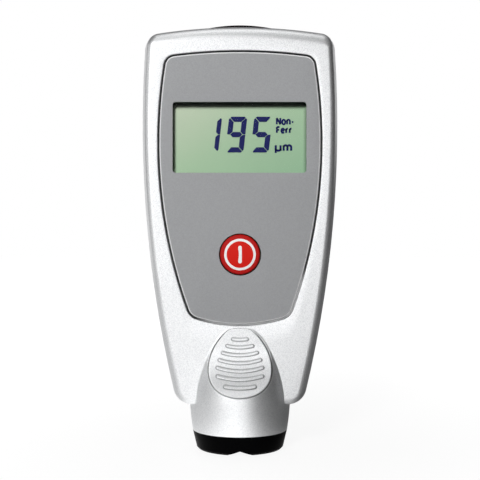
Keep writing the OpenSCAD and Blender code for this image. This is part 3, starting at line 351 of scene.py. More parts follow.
def ridge_place(x, z):
    """Distance across the nearest of the round-ended arcs about one centre, as a share of half a ridge,
    and whether it lies below the arc; the arcs are longest in the middle and shorten by a power
    curve each way."""
    rho = np.hypot(x, z - RIDGE_Z)
    i = np.clip(np.round((rho - RIDGE_R) / RIDGE_PITCH), 0, RIDGE_COUNT - 1)
    r = RIDGE_R + RIDGE_PITCH * i
    mid = RIDGE_Z - r
    above = RIDGE_UP_CUT * np.clip((mid - RIDGE_MID) / RIDGE_UP, 0, 1) ** RIDGE_UP_POWER
    under = RIDGE_DOWN_CUT * np.clip((RIDGE_MID - mid) / RIDGE_DOWN, 0, 1) ** RIDGE_DOWN_POWER
    half = np.arcsin((RIDGE_HALF * (1 - above - under) - RIDGE_W / 2) / r)
    along = np.clip(np.abs(np.arctan2(x, RIDGE_Z - z)) - half, 0, None) * r
    return np.hypot(rho - r, along) / (RIDGE_W / 2), rho > r


def boss_rows(rows=236, low_rows=18, cols=204):
    """Boss as a grid of height and turn: the round boss runs into the face, the scoop is taken out with a
    fine groove round it, and flat-topped ridges stand in it; also painted shade for the groove and for the
    ridges' edges, darker on their lower side."""
    z = np.concatenate([np.linspace(COLLAR_Z, SCOOP_LOW, low_rows, endpoint=False),
                        np.linspace(SCOOP_LOW, BOSS_END, rows - low_rows)])[:, None]
    tip = TIP_LOW + TIP_RISE * np.sqrt(np.clip((BOSS_END - z) / TIP_ROUND, 0, 1))
    r = np.where(z > BOSS_END - TIP_ROUND, np.minimum(boss_radius(z), tip), boss_radius(z))
    low = np.clip(face_depth(FOOT_X, z), 0, FRONT_DEPTH)
    reach = np.sqrt(np.clip(r * r - low * low, 0, None)) + BOSS_REACH
    t = np.linspace(-1, 1, cols)[None, :]
    turn = np.arcsin(np.clip(reach / r, 0, 1)) * t
    x = r * np.sin(turn)
    f = r * np.cos(turn)

    fill = CREASE * np.clip((BOSS_END + CREASE_OVER - z) / CREASE_RUN, CREASE_LEAST, 1)
    f = soft_max(f, face_depth(x, z) - FACE_UNDER, fill)
    pad = scoop_depth(z)
    carved = -soft_max(-f, -(pad + 0 * x), SCOOP_SOFT)
    f = np.where(f > pad - SCOOP_SOFT, carved, f)
    over = r * np.cos(turn) - pad
    across, below = ridge_place(x, z)
    f = f + RIDGE_H * np.sqrt(np.clip(1 - across ** 4, 0, 1)) * np.clip(over / RIDGE_FADE, 0, 1)

    rise = np.hypot(np.gradient(over, axis=0) / np.gradient(z, axis=0),
                    np.gradient(over, axis=1) / np.gradient(x, axis=1))
    away = over / np.clip(rise, GROOVE_SLOPE, None) + GROOVE_OUT
    groove = np.exp(-(away / GROOVE_W) ** 2) * (z > SCOOP_LOW)
    f = f - GROOVE_DEPTH * groove
    f = f - EDGE_SINK * np.clip((np.abs(t) - EDGE_START) / EDGE_RUN, 0, 1) * (low > EDGE_LEAST)
    # Painted shade along the ridges' edges, stronger on their lower side, away from the light
    line = np.exp(-((across - RIDGE_LINE_AT) * RIDGE_W / 2 / RIDGE_LINE) ** 2)
    edge = line * np.where(below, RIDGE_SHADE_BELOW, RIDGE_SHADE_ABOVE) * (over > RIDGE_LINE_OVER)
    outer = np.stack([x, np.clip(f, 0.0, None), z + 0 * x], -1)
    slim = np.broadcast_to(((r - BOSS_WALL) / r)[..., None], outer.shape) * [1, 1, 0] + [0, 0, 1]
    return outer, outer * slim, np.maximum(GROOVE_SHADE * groove, edge)


def closed_sheet(outer, inner):
    """Two grids of one size made into a closed wall: both faces, and a strip along each of the four edges."""
    rows, cols = outer.shape[:2]
    n = rows * cols
    q = grid_quads(rows, cols)
    edge = np.concatenate([np.arange(cols), np.arange(1, rows) * cols + cols - 1,
                           (rows - 1) * cols + np.arange(cols - 2, -1, -1),
                           np.arange(rows - 2, 0, -1) * cols])
    nxt = np.roll(edge, -1)
    strip = np.stack([edge, nxt, nxt + n, edge + n], 1)
    points = np.concatenate([outer.reshape(-1, 3), inner.reshape(-1, 3)])
    return points, np.concatenate([q, q[:, ::-1] + n, strip])


def turned(profile, x, z, count=160):
    """Surface of revolution about a line along the depth: radius and depth of a profile, carried round."""
    profile = np.asarray(profile, float)
    a = np.linspace(0, 2 * np.pi, count, endpoint=False)[None, :]
    r, f = profile[:, :1], profile[:, 1:]
    return np.stack([x + r * np.cos(a), f + 0 * a, z + r * np.sin(a)], -1)


# Materials

def linear(red, green, blue):
    """Linear colour of an 8-bit screen colour."""
    c = np.array([red, green, blue]) / 255
    return tuple(np.where(c <= 0.04045, c / 12.92, ((c + 0.055) / 1.055) ** 2.4)) + (1.0,)


def grey(value):
    """Colour with one value in all its parts."""
    return value, value, value, 1


def shade(color, share):
    """A colour made lighter or darker by a share."""
    return tuple(min(c * share, 1.0) for c in color[:3]) + (1.0,)


class Finish:
    """A material with its shader and the nodes that several finishes share."""

    def __init__(self, name, color, roughness, metallic=0.0, **sockets):
        self.material = bpy.data.materials.new(name)
        self.material.use_nodes = True
        self.tree = self.material.node_tree
        self.shader = self.tree.nodes["Principled BSDF"]
        self.feed("Base Color", color)
        self.feed("Roughness", roughness)
        self.feed("Metallic", metallic)
        for k, v in sockets.items():
            self.feed(k.replace("_", " "), v)
        self.coords = self.tree.nodes.new("ShaderNodeTexCoord").outputs["Object"]

    def plug(self, socket, value):
        """A socket linked to another node's output, or set to a fixed value."""
        if isinstance(value, bpy.types.NodeSocket):
            self.tree.links.new(value, socket)
        else:
            socket.default_value = value

    def feed(self, socket, value):
        """One of the shader's own sockets, by its name."""
        self.plug(self.shader.inputs[socket], value)

    def node(self, kind, **values):
        """A node with its settings and its inputs, by their names."""
        n = self.tree.nodes.new(kind)
        for k, v in values.items():
            if hasattr(n, k):
                setattr(n, k, v)
            else:
                self.plug(n.inputs[k.replace("_", " ")], v)
        return n

    def noise(self, scale, detail=2.0):
        """Even noise through the object."""
        return self.node("ShaderNodeTexNoise", Scale=scale, Detail=detail, Vector=self.coords).outputs["Fac"]

    def ramp(self, factor, stops):
        """Colour read from a ramp of places and colours."""
        n = self.node("ShaderNodeValToRGB", Fac=factor)
        n.color_ramp.elements.remove(n.color_ramp.elements[0])
        for k, (at, color) in enumerate(stops):
            e = n.color_ramp.elements[0] if k == 0 else n.color_ramp.elements.new(at)
            e.position, e.color = at, color
        return n.outputs["Color"]

    def map_range(self, value, start, stop, low=0.0, high=1.0, **settings):
        """A value carried from one range to another."""
        n = self.node("ShaderNodeMapRange", Value=value, From_Min=start, From_Max=stop,
                      To_Min=low, To_Max=high, **settings)
        return n.outputs["Result"]

    def spread(self, noise, low, high):
        """The middle of a noise spread over a range."""
        return self.map_range(noise, 0.3, 0.7, low, high)

    def calc(self, operation, *values):
        """Result of a sum on linked or fixed values, in order."""
        n = self.node("ShaderNodeMath", operation=operation)
        for socket, value in zip(n.inputs, values):
            self.plug(socket, value)
        return n.outputs[0]

    def mix(self, factor, color, other):
        """Colour that runs to another by a factor."""
        n = self.node("ShaderNodeMix", data_type="RGBA")
        for k, value in ((0, factor), (6, color), (7, other)):
            self.plug(n.inputs[k], value)
        return n.outputs[2]

    def length(self, vector):
        """Length of a vector."""
        n = self.node("ShaderNodeVectorMath", operation="LENGTH")
        self.plug(n.inputs[0], vector)
        return n.outputs["Value"]

    def mapped(self, location, scale):
        """The object's coordinates, scaled and then moved."""
        n = self.node("ShaderNodeMapping", vector_type="POINT", Vector=self.coords, Scale=scale)
        self.plug(n.inputs["Location"], location)
        return n.outputs["Vector"]

    def axes(self, vector):
        """The three parts of a vector, by name."""
        return self.node("ShaderNodeSeparateXYZ", Vector=vector).outputs

    def marked(self, name):
        """The number that mark gave to each point."""
        return self.node("ShaderNodeAttribute", attribute_name=name).outputs["Fac"]

    def bump(self, height, distance):
        """The shader's normal tilted by a height."""
        n = self.node("ShaderNodeBump", Strength=1.0, Distance=distance, Height=height)
        self.feed("Normal", n.outputs["Normal"])


def plain_finish(name, color, roughness, metallic=0.0, scale=1800, depth=0.00001, vary=0.06, **sockets):
    """Moulded or turned finish: one colour with a fine grain in colour, roughness and height."""
    f = Finish(name, color, roughness, metallic, **sockets)
    grain = f.noise(scale)
    f.feed("Base Color", f.ramp(grain, [(0.32, shade(color, 1 - vary)), (0.68, shade(color, 1 + vary))]))
    f.feed("Roughness", f.spread(grain, roughness - 0.05, roughness + 0.05))
    f.bump(grain, depth)
    return f.material


def silver_paint():
    """Silver paint: flakes in the colour, dark lines of painted shade where line_shade marks, and a faint
    orange peel.
    """
    silver = (0.86, 0.87, 0.88, 1)
    f = Finish("silver_paint", silver, 0.44, 0.92, Specular_IOR_Level=0.5)
    flake = f.noise(5200, 1.0)
    color = f.ramp(flake, [(0.3, (0.7, 0.71, 0.725, 1)), (0.5, silver), (0.72, (0.97, 0.975, 0.98, 1))])
    # Painted shade: the base colour runs to near black where line_shade marks
    f.feed("Base Color", f.mix(f.marked("line_shade"), color, (0.03, 0.03, 0.032, 1)))
    f.feed("Roughness", f.spread(flake, 0.4, 0.5))
    f.bump(f.noise(2600, 3.0), 0.000012)
    return f.material


def panel_grey():
    """Satin grey panel with a fine even grain and a painted highlight along its rounded rim, read from the
    rim's mark.
    """
    color = linear(158, 159, 161)
    f = Finish("panel_grey", color, 0.5)
    grain = f.noise(3600)
    grained = f.ramp(grain, [(0.32, shade(color, 0.93)), (0.68, shade(color, 1.07))])
    # Painted highlight: the base colour runs to light grey along the rounded rim
    f.feed("Base Color", f.mix(f.marked("painted_rim_highlight"), grained, (0.82, 0.825, 0.83, 1)))
    f.feed("Roughness", f.spread(grain, 0.45, 0.55))
    f.bump(grain, 0.000008)
    return f.material


def display_green():
    """Display glass: green grey that runs from the upper left to the lower right, with painted shadow along
    the top and a little at both sides, under the rim of the panel's opening, and a faint unevenness."""
    wide, tall, middle = 0.062, 0.036, 0.091
    f = Finish("display_green", linear(170, 192, 168), 0.5, Specular_IOR_Level=0.1)
    share = f.axes(f.mapped((0.5, 0.5, -middle / tall + 0.5), (1 / wide, 1, 1 / tall)))
    along = f.calc("MULTIPLY_ADD", f.calc("SUBTRACT", share["X"], share["Z"]), 0.5, 0.5)
    color = f.ramp(along, [(0.1, linear(222, 230, 207)), (0.5, linear(182, 213, 178)),
                           (0.9, linear(152, 195, 159))])
    place = f.axes(f.coords)
    dark = None
    # Painted shadow near the top and side edges of the glass, where the opening's rim shades it
    for axis, start, stop, most in (("Z", 0.0989, 0.1009, 0.93), ("X", -0.0186, -0.0194, 0.3),
                                    ("X", 0.0182, 0.0193, 0.5)):
        edge = f.map_range(place[axis], start, stop, 0.0, most, interpolation_type="SMOOTHSTEP")
        dark = edge if dark is None else f.calc("MAXIMUM", dark, edge)
    f.feed("Base Color", f.mix(dark, color, (0.005, 0.012, 0.01, 1)))
    f.bump(f.noise(400, 2.0), 0.000006)
    return f.material


def button_red():
    """Red button: bright inside the ring, deeper outside it, read from the distance to the button's axis."""
    f = Finish("button_red", linear(180, 45, 30), 0.5, Specular_IOR_Level=0.2)
    far = f.length(f.mapped((0, 0, -BUTTON_Z * MM), (1, 0, 1)))
    share = f.calc("MULTIPLY", far, 1 / (BUTTON_R * MM))
    f.feed("Base Color", f.ramp(share, [(0.7, linear(218, 25, 10)), (0.82, linear(190, 20, 15)),
                                        (1, linear(171, 16, 14))]))
    f.bump(f.noise(2400, 2.0), 0.00001)
    return f.material


def clear_window():
    """Clear lens: nearly see-through, with its own gloss and faint wipe marks."""
    f = Finish("clear_window", (0.02, 0.02, 0.02, 1), 0.06, Alpha=0.03, Specular_IOR_Level=0.1)
    f.feed("Roughness", f.spread(f.noise(220, 3.0), 0.04, 0.1))
    return f.material


FINISHES = {
    "silver_plastic": silver_paint(),
    "panel_grey": panel_grey(),
    "clear_window": clear_window(),
    "lcd_glass": display_green(),
    "lcd_ink": plain_finish("display_ink", linear(35, 40, 98), 0.6, scale=1500, vary=0.1,
                            Specular_IOR_Level=0.1),
    "button_red": button_red(),
    "white_plastic": plain_finish("white_plastic", (0.95, 0.945, 0.94, 1), 0.45, vary=0.03),
    "black_plastic": plain_finish("black_plastic", (0.0012, 0.0012, 0.0014, 1), 0.38, vary=0.3,
                                  Specular_IOR_Level=0.012),
    "black_rubber": plain_finish("black_rubber", (0.02, 0.02, 0.02, 1), 0.8, scale=900, vary=0.25),
    "dark_gloss": plain_finish("dark_gloss", (0.012, 0.006, 0.009, 1), 0.12, scale=500, depth=0.000002,
                               vary=0.3),
    "board_green": plain_finish("board_green", (0.02, 0.16, 0.06, 1), 0.4, scale=700, vary=0.15),
    "capacitor_blue": plain_finish("capacitor_blue", (0.03, 0.05, 0.22, 1), 0.3, vary=0.1),
    "cell_sleeve": plain_finish("cell_sleeve", (0.05, 0.09, 0.2, 1), 0.3, 0.4, scale=300, vary=0.1),
    "steel": plain_finish("steel", (0.6, 0.61, 0.63, 1), 0.3, 1.0, scale=2500, depth=0.000004),
    "brass": plain_finish("brass", (0.7, 0.5, 0.2, 1), 0.3, 1.0, scale=2500, depth=0.000004),
    "ferrite": plain_finish("ferrite", (0.03, 0.03, 0.035, 1), 0.6, 0.3, scale=1200, vary=0.2),
    "copper": plain_finish("copper", (0.6, 0.25, 0.1, 1), 0.35, 1.0, scale=6000, depth=0.00002),
}

for sub in frame["record"]["subparts"]:
    node = frame["nodes"][sub["node"]]
    node.data.materials.clear()
    node.data.materials.append(FINISHES[sub["material_slot"]])


# The housing

def cut_out(mesh, cutters):
    """A mesh with the closed cutters taken out of it, worked out once and kept."""
    base = new_object("cut_base", mesh)
    tools = []
    for points, quads in cutters:
        tool_mesh = fill_mesh("cut_tool", points, quads)
        tidy_mesh(tool_mesh, 30)
        tool = new_object("cut_tool", tool_mesh)
        m = base.modifiers.new("cut", "BOOLEAN")
        m.operation, m.solver, m.object = "DIFFERENCE", "EXACT", tool
        tools.append(tool)
    graph = bpy.context.evaluated_depsgraph_get()
    made = bpy.data.meshes.new_from_object(base.evaluated_get(graph))
    for o in [base, *tools]:
        bpy.data.objects.remove(o)
    return made


def prism(place, low, high):
    """Closed prism over a flat outline, with each end drawn in to its middle."""
    middle = np.broadcast_to(place.mean(0), place.shape)
    return wrapped(np.stack([at_depth(middle, low), at_depth(place, low), at_depth(place, high),
                             at_depth(middle, high)]))


def probe_space():
    """Space for the probe under the boss: its footprint on the face, drawn in a little, as a prism."""
    z = np.linspace(PROBE_LOW, PROBE_HIGH, 40)
    half = np.sqrt(boss_radius(z) ** 2 - FRONT_DEPTH ** 2) - PROBE_IN
    place = np.concatenate([np.stack([half, z], 1), np.stack([-half, z], 1)[::-1]])
    return prism(place, CUT_BACK, CUT_FRONT)


window_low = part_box("infrared_window")[0]
WINDOW_F, WINDOW_FLOOR = -window_low[1] / MM, window_low[2] / MM


def window_slot():
    """Slot for the dark window in the top end, half of it in the front shell."""
    place = rounded_window(2 * WINDOW_HALF + SLOT_SIDE, SLOT_H, SLOT_Z, SLOT_R)
    return prism(place, CUT_BACK, WINDOW_F + SLOT_FRONT)


def window_block(cols=64, rows=25):
    """Dark window: over its length a parabola above the housing's end, over its depth a flat arch above the
    two drafts, closed below."""
    x = np.linspace(-WINDOW_HALF, WINDOW_HALF, cols)[None, :]
    f = WINDOW_F * np.sin(np.linspace(-np.pi / 2, np.pi / 2, rows))[:, None]
    draft = np.where(f > 0, FRONT_DRAFT * f, -REAR_DRAFT * f)
    rise = WINDOW_RISE * (1 - (x / WINDOW_HALF) ** 2) * np.sqrt(np.clip(1 - (f / WINDOW_F) ** 2, 0, 1))
    z = BODY_TOP - x * x / (2 * BODY_END_R) - draft + rise
    top = np.stack([x + 0 * f, f + 0 * x, z], -1)
    floor = np.stack([x + 0 * f, f + 0 * x, WINDOW_FLOOR + 0 * z], -1)
    return closed_sheet(top, floor)


def pocket_shade(points):
    """Painted shade of the groove round the panel: it deepens with the depth below the face, near the
    pocket's outlines alone, and pales toward the foot, where the lower walls face the light."""
    rings = np.concatenate([panel_outline(PANEL_GAP), panel_outline(-POCKET_LEDGE)])
    near = np.full(len(points), np.inf)
    for ring in np.array_split(rings, 8):
        far = np.hypot(points[:, :1] - ring[:, 0], points[:, 2:] - ring[:, 1]).min(1)
        near = np.minimum(near, far)
    x, f, z = points.T
    depth = np.clip((FRONT_DEPTH - POCKET_SLACK - f) / POCKET_DARK_RUN, 0, 1)
    # Less painted shade toward the foot, where the groove's lower walls face the light
    shade_by_height = SHADE_FOOT_LEAST + SHADE_FOOT_MORE * np.clip((z - SHADE_FOOT_Z - SHADE_FOOT_TILT * (x + SHADE_FOOT_X)) / SHADE_FOOT_RUN, 0, 1)
    return POCKET_SHADE * shade_by_height * depth * (near < POCKET_NEAR) * (f > FLOOR_F - POCKET_SLACK)


shell = fill_mesh("front_housing", *wrapped(shell_rings(), wrap_rows=True))
tidy_mesh(shell, 40)
shell = cut_out(shell, [probe_space(), window_slot()])
# Painted shade in the groove round the panel
mark(shell, "line_shade", pocket_shade(points_of(shell)))
add_piece("front_housing", shell, "housing", ["front_shell"], "silver_plastic", 40)

boss_out, boss_in, boss_shade = boss_rows()
boss = fill_mesh("finger_boss", *closed_sheet(boss_out, boss_in))
# Painted shade of the groove and the ridges' edges on the outer face
mark(boss, "line_shade", np.concatenate([boss_shade, 0 * boss_shade]))
add_piece("finger_boss", boss, "housing", ["front_shell"], "silver_plastic", 40)


def merged_copy(name, node, body, sharp):
    """The solid of a CAD node with its loose triangles joined, so that its curves shade smoothly."""
    mesh = frame["nodes"][node].data.copy()
    mesh.name = name
    b = bmesh.new()
    b.from_mesh(mesh)
    bmesh.ops.remove_doubles(b, verts=b.verts, dist=2e-6)
    bmesh.ops.dissolve_degenerate(b, edges=b.edges, dist=1e-6)
    b.to_mesh(mesh)
    b.free()
    for a in ("custom_normal", "sharp_edge"):
        if a in mesh.attributes:
            mesh.attributes.remove(mesh.attributes[a])
    smooth(mesh, sharp)
    piece = dress(new_object(name, mesh), body, [node])
    weigh = piece.modifiers.new("even_normals", "WEIGHTED_NORMAL")
    weigh.keep_sharp = True


merged_copy("rear_housing", "rear_shell", "housing", 32)
merged_copy("sliding_cover", "battery_cover", "cover", 32)
merged_copy("foot_cap", "probe_cap", "housing", 30)
window = fill_mesh("top_window", *window_block())
add_piece("top_window", window, "housing", ["infrared_window"], "dark_gloss", 40)


def panel_piece():
    """Grey panel: its outline carried over a small round at the rim, with the display and button openings cut
    through."""
    edge = panel_outline(-PANEL_IN)
    rows = [np.broadcast_to(np.array([0.0, FLOOR_F, PANEL_MID_Z]), (len(edge), 3)), at_depth(edge, FLOOR_F)]
    for a in np.radians(np.linspace(0, 90, 6)):
        place = panel_outline(-PANEL_IN - PANEL_RIM * (1 - math.cos(a)))
        rows.append(at_depth(place, PANEL_F - PANEL_RIM + PANEL_RIM * math.sin(a)))
    rows.append(np.broadcast_to(np.array([0.0, PANEL_F, PANEL_MID_Z]), rows[0].shape))
    mesh = fill_mesh("grey_panel", *wrapped(np.stack(rows)))
    tidy_mesh(mesh, 30)

    low, high = FLOOR_F - 1, PANEL_F + 1
    opening = prism(rounded_window(VIEW_W, VIEW_H, VIEW_Z, VIEW_R) + [VIEW_X, 0], low, high)
    turn = np.linspace(0, 2 * np.pi, 120, endpoint=False)
    hole_r = BUTTON_R + BUTTON_GAP
    hole = prism(np.stack([hole_r * np.cos(turn), BUTTON_Z + hole_r * np.sin(turn)], 1), low, high)
    made = cut_out(mesh, [opening, hole])

    x, f, z = points_of(made).T
    up = (f - PANEL_F + PANEL_RIM) / PANEL_RIM
    inside = np.abs(x - VIEW_X) < VIEW_W / 2 + OPENING_EDGE
    inside &= np.abs(z - VIEW_Z) < VIEW_H / 2 + OPENING_EDGE
    inside |= np.hypot(x, z - BUTTON_Z) < hole_r + OPENING_EDGE
    # Painted highlight marked on the round of the rim, away from the openings
    mark(made, "painted_rim_highlight", ((up > RIM_FROM) & (up < RIM_TO) & ~inside) * 1.0)
    return made


panel = add_piece("grey_panel", panel_piece(), "housing", ["front_panel"], "panel_grey", 30)
soft = panel.modifiers.new("edge_round", "BEVEL")
soft.width, soft.segments, soft.limit_method, soft.angle_limit = 0.00018, 3, "ANGLE", math.radians(50)
soft.harden_normals = True


# The button

def dome(r):
    """Depth of the button's dome at a radius."""
    return BUTTON_TOP - DOME_R + np.sqrt(DOME_R ** 2 - r * r)


def button_profile():
    """Radius and depth down the button: the dome, a rounded rim, the side, then back to the axis."""
    edge = BUTTON_R - BUTTON_ROUND
    r = np.linspace(0, edge, 24)
    a = np.radians(np.linspace(90, 0, 10))
    rim = np.stack([edge + BUTTON_ROUND * np.cos(a), dome(edge) - BUTTON_ROUND + BUTTON_ROUND * np.sin(a)], 1)
    return np.concatenate([np.stack([r, dome(r)], 1), rim[1:], [[BUTTON_R, BUTTON_LOW], [0, BUTTON_LOW]]])


button = fill_mesh("red_button", *wrapped(turned(button_profile(), 0, BUTTON_Z)))
add_piece("red_button", button, "button", ["power_button"], "button_red", 50)


def symbol_parts():
    """White ring and bar: strips that follow the dome just proud of it, with a wall down into it."""
    r = np.linspace(MARK_IN, MARK_OUT, 6)
    ring = np.concatenate([[[MARK_IN, dome(MARK_IN) - MARK_ROOT]], np.stack([r, dome(r) + MARK_PROUD], 1),
                           [[MARK_OUT, dome(MARK_OUT) - MARK_ROOT]]])
    a = np.linspace(0, 2 * np.pi, 64, endpoint=False)
    x = MARK_BAR_W * np.cos(a)
    z = np.sign(np.sin(a)) * (MARK_BAR_L - MARK_BAR_W) + MARK_BAR_W * np.sin(a)
    rows = []
    for share, lift in ((0, -MARK_ROOT), (1, -MARK_ROOT), (1, MARK_PROUD), (0.5, MARK_PROUD),
                        (0, MARK_PROUD)):
        rr = np.hypot(share * x, share * z)
        rows.append(np.stack([share * x, dome(rr) + lift, BUTTON_Z + share * z], 1))
    return [wrapped(turned(ring, 0, BUTTON_Z), wrap_rows=True), wrapped(np.stack(rows))]


power_mark = join_meshes("power_mark", symbol_parts())
add_piece("power_mark", power_mark, "button", ["button_symbol"], "white_plastic", 40)


# Reading on the display

INK_F = -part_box("display_segments")[0][1] / MM
DIGITS = {"1": "bc", "9": "abcdfg", "5": "acdfg"}


def bar_outline(name, w, h, s):
    """One bar of a seven-bar digit: long on the outside, cut back at half a right angle to its neighbours."""
    w, h = w / 2, h / 2
    m, g = BAR_CORNER / 2, BAR_GAP / math.sqrt(8)
    if name == "g":
        tip = w - s / 2 - BAR_GAP
        return np.array([[-tip, 0], [s / 2 - tip, -s / 2], [tip - s / 2, -s / 2],
                         [tip, 0], [tip - s / 2, s / 2], [s / 2 - tip, s / 2]])
    if name in "ad":
        p = np.array([[-w + BAR_CORNER, h], [-w + m + g, h - m + g], [-w + s + 2 * g, h - s],
                      [w - s - 2 * g, h - s], [w - m - g, h - m + g], [w - BAR_CORNER, h]])
        return p * [1, 1 if name == "a" else -1]
    p = np.array([[w, h - BAR_CORNER], [w - m + g, h - m - g], [w - s, h - s - 2 * g],
                  [w - s, s / 2 + BAR_GAP / 2], [w - s / 2, BAR_GAP / 2], [w, BAR_GAP / 2]])
    return p * [1 if name in "bc" else -1, 1 if name in "bf" else -1]


def reading(text, x, z, w, h, stroke, pitch, slant):
    """Slanted seven-bar digits as thin flat prisms on the display glass, with free ends of the level bars cut
    blunt and the two bars of a one drawn thinner."""
    parts = []
    for k, d in enumerate(text):
        for name in DIGITS[d]:
            bar = bar_outline(name, w, h, stroke if len(DIGITS[d]) > 2 else THIN_BAR * stroke)
            if name in "ad":
                left, right = ("f", "b") if name == "a" else ("e", "c")
                free = [FREE_CUT * (other not in DIGITS[d]) for other in (left, right)]
                bar[:, 0] = np.clip(bar[:, 0], free[0] - w / 2, w / 2 - free[1])
            bar[:, 0] += math.tan(math.radians(slant)) * bar[:, 1] + x + k * pitch
            bar[:, 1] += z
            parts.append(prism(bar, INK_F - INK_DEPTH, INK_F))
    return parts


digits = reading("195", x=-8.45, z=92.0, w=5.3, h=10.4, stroke=1.5, pitch=7.35, slant=6.5)
digits = join_meshes("reading_digits", digits)
add_piece("reading_digits", digits, "housing", ["display_segments"], "lcd_ink", 30)


def arc_path(x, z, rx, rz, start, stop, n=18):
    """Part of an ellipse between two angles in degrees."""
    a = np.radians(np.linspace(start, stop, n))
    return np.stack([x + rx * np.cos(a), z + rz * np.sin(a)], 1)


def straight(*ends):
    """Path through the given points."""
    return np.array(ends, float)


# Letters in units of a capital's height
SMALL_H, ARCH_Z, ARCH_H, LETTER_GAP = 0.72, 0.46, 0.26, 0.3


def hump(x, width):
    """Arch of a small letter and the leg after it."""
    return np.concatenate([arc_path(x + width / 2, ARCH_Z, width / 2, ARCH_H, 180, 0), [[x + width, 0]]])


STEM = straight([0, 0], [0, 1])
SMALL_STEM = straight([0, 0], [0, SMALL_H])

# Strokes of each letter and its width
LETTERS = {
    "N": ([STEM, straight([0, 1], [0.56, 0]), straight([0.56, 0], [0.56, 1])], 0.56),
    "o": ([arc_path(0.25, 0.36, 0.25, 0.36, 0, 360, 33)], 0.5),
    "n": ([SMALL_STEM, hump(0, 0.44)], 0.44),
    "-": ([straight([0, 0.36], [0.26, 0.36])], 0.26),
    "F": ([STEM, straight([0, 1], [0.46, 1]), straight([0, 0.52], [0.4, 0.52])], 0.46),
    "e": ([straight([0.02, 0.38], [0.48, 0.38]), arc_path(0.25, 0.36, 0.25, 0.36, 4, 318, 30)], 0.5),
    "r": ([SMALL_STEM, arc_path(0.26, 0.4, 0.26, 0.32, 180, 80)], 0.3),
    "µ": ([straight([0, -0.3], [0, SMALL_H]), arc_path(0.23, 0.26, 0.23, 0.26, 180, 360),
           straight([0.46, 0], [0.46, SMALL_H])], 0.46),
    "m": ([SMALL_STEM, hump(0, 0.36), hump(0.36, 0.36)], 0.72),
}


def ribbon(path, width, low, high):
    """A flat bar carried along a path: its two sides stand off square to the mean of its directions."""
    step = np.diff(path, axis=0)
    step /= np.hypot(step[:, 0], step[:, 1])[:, None]
    along = np.concatenate([step[:1], step[:-1] + step[1:], step[-1:]])
    along /= np.hypot(along[:, 0], along[:, 1])[:, None]
    side = np.stack([-along[:, 1], along[:, 0]], 1) * width / 2
    left, right = path + side, path - side
    sides = (left, low), (left, high), (right, high), (right, low)
    grid = np.stack([at_depth(side_path, f) for side_path, f in sides], 1)
    return wrapped(capped(grid))


def display_word(name, word, x, z, cap, width, stroke):
    """A word as flat ink on the display glass: its letters' strokes, fitted to a place, a capital height and
    a width in millimetres."""
    total = sum(LETTERS[c][1] for c in word) + LETTER_GAP * (len(word) - 1)
    wide, tall = (width - stroke) / total, cap - stroke
    parts, at = [], 0.0
    for c in word:
        for path in LETTERS[c][0]:
            placed = (path + [at, 0]) * [wide, tall] + [x + stroke / 2, z + stroke / 2]
            parts.append(ribbon(placed, stroke, INK_F - WORD_DEPTH, INK_F))
        at += LETTERS[c][1] + LETTER_GAP
    add_piece(name, join_meshes(name, parts), "housing", [], "lcd_ink", 30)


display_word("mode_word_upper", "Non-", 10.45, 94.7, 2.4, 5.35, 0.54)
display_word("mode_word_lower", "Ferr", 10.45, 92.25, 2.2, 4.8, 0.54)
display_word("unit_word", "µm", 10.1, 87.0, 2.8, 5.1, 0.62)


# Spring of the probe

def coil_tube(radius, wire, turns, low, high, per_turn=28, sides=10):
    """Round wire along a helix: the section turns in the plane of the axis and the radius, and each end
    closes to its middle."""
    s = np.linspace(0, 1, turns * per_turn + 1)[:, None]
    a = 2 * np.pi * turns * s
    b = np.linspace(0, 2 * np.pi, sides, endpoint=False)[None, :]
    r = radius + wire * np.cos(b)
    z = low + wire + (high - low - 2 * wire) * s + wire * np.sin(b)
    return wrapped(capped(np.stack([r * np.cos(a), r * np.sin(a), z + 0 * a], -1)))


spring_low, spring_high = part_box("probe_spring")
coil = coil_tube(SPRING_R, SPRING_WIRE, SPRING_TURNS, spring_low[2] / MM, spring_high[2] / MM)
coil = fill_mesh("return_spring", *coil)
spring = add_piece("return_spring", coil, "housing", ["probe_spring"], "steel", 60)
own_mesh(spring)


# Studio, in metres

# Strength of the glow that reflections see on the floor, across the gauge, from 60 mm left of it to 60 mm
# right
FLOOR_BAND = ((0.0, 0.45), (0.25, 0.5), (0.36, 1.0), (0.53, 1.0), (0.62, 0.35), (0.75, 0.02), (1.0, 0.07))
FLOOR_HALF, FLOOR_POINTS, FLOOR_DROP = 3000, 9, 0.05  # millimetres


def floor_finish():
    """Floor that the camera sees glowing white, with painted shade that makes it a little greyer near the
    foot, and that glows only for reflections as painted light: a band of changing strength near the foot,
    which runs to a wide pool in front of it."""
    f = Finish("pale_floor", grey(0.07), 0.7, Emission_Color=grey(1))
    path = f.node("ShaderNodeLightPath").outputs
    place = f.axes(f.coords)
    # Painted shade: the glow that the camera sees is weaker near the foot
    glow = f.map_range(f.length(f.coords), 0.03, 0.25, 0.9, 1.0)
    seen = f.calc("MULTIPLY", path["Is Camera Ray"], glow)
    band = f.ramp(f.map_range(place["X"], -0.06, 0.06), [(at, grey(v)) for at, v in FLOOR_BAND])
    wide = f.map_range(place["X"], 0.06, -0.05, 0.2, 0.7)
    pool = f.mix(f.map_range(place["Y"], -0.07, -0.14), band, wide)
    # Painted light that only reflections see, as a pool on the floor
    mirrored = f.calc("MULTIPLY", path["Is Glossy Ray"], 1.22)
    f.feed("Emission Strength", f.calc("MULTIPLY_ADD", pool, mirrored, seen))
    return f.material


def stage_floor():
    """Pale floor: a wide square of faces just under the foot."""
    a = np.linspace(-FLOOR_HALF, FLOOR_HALF, FLOOR_POINTS)
    x, y = np.meshgrid(a, a)
    points = np.stack([x, y, 0 * x - FLOOR_DROP], -1)
    mesh = fill_mesh("pale_floor", points, grid_quads(FLOOR_POINTS, FLOOR_POINTS))
    floor = new_object("pale_floor", mesh)
    mesh.materials.append(floor_finish())


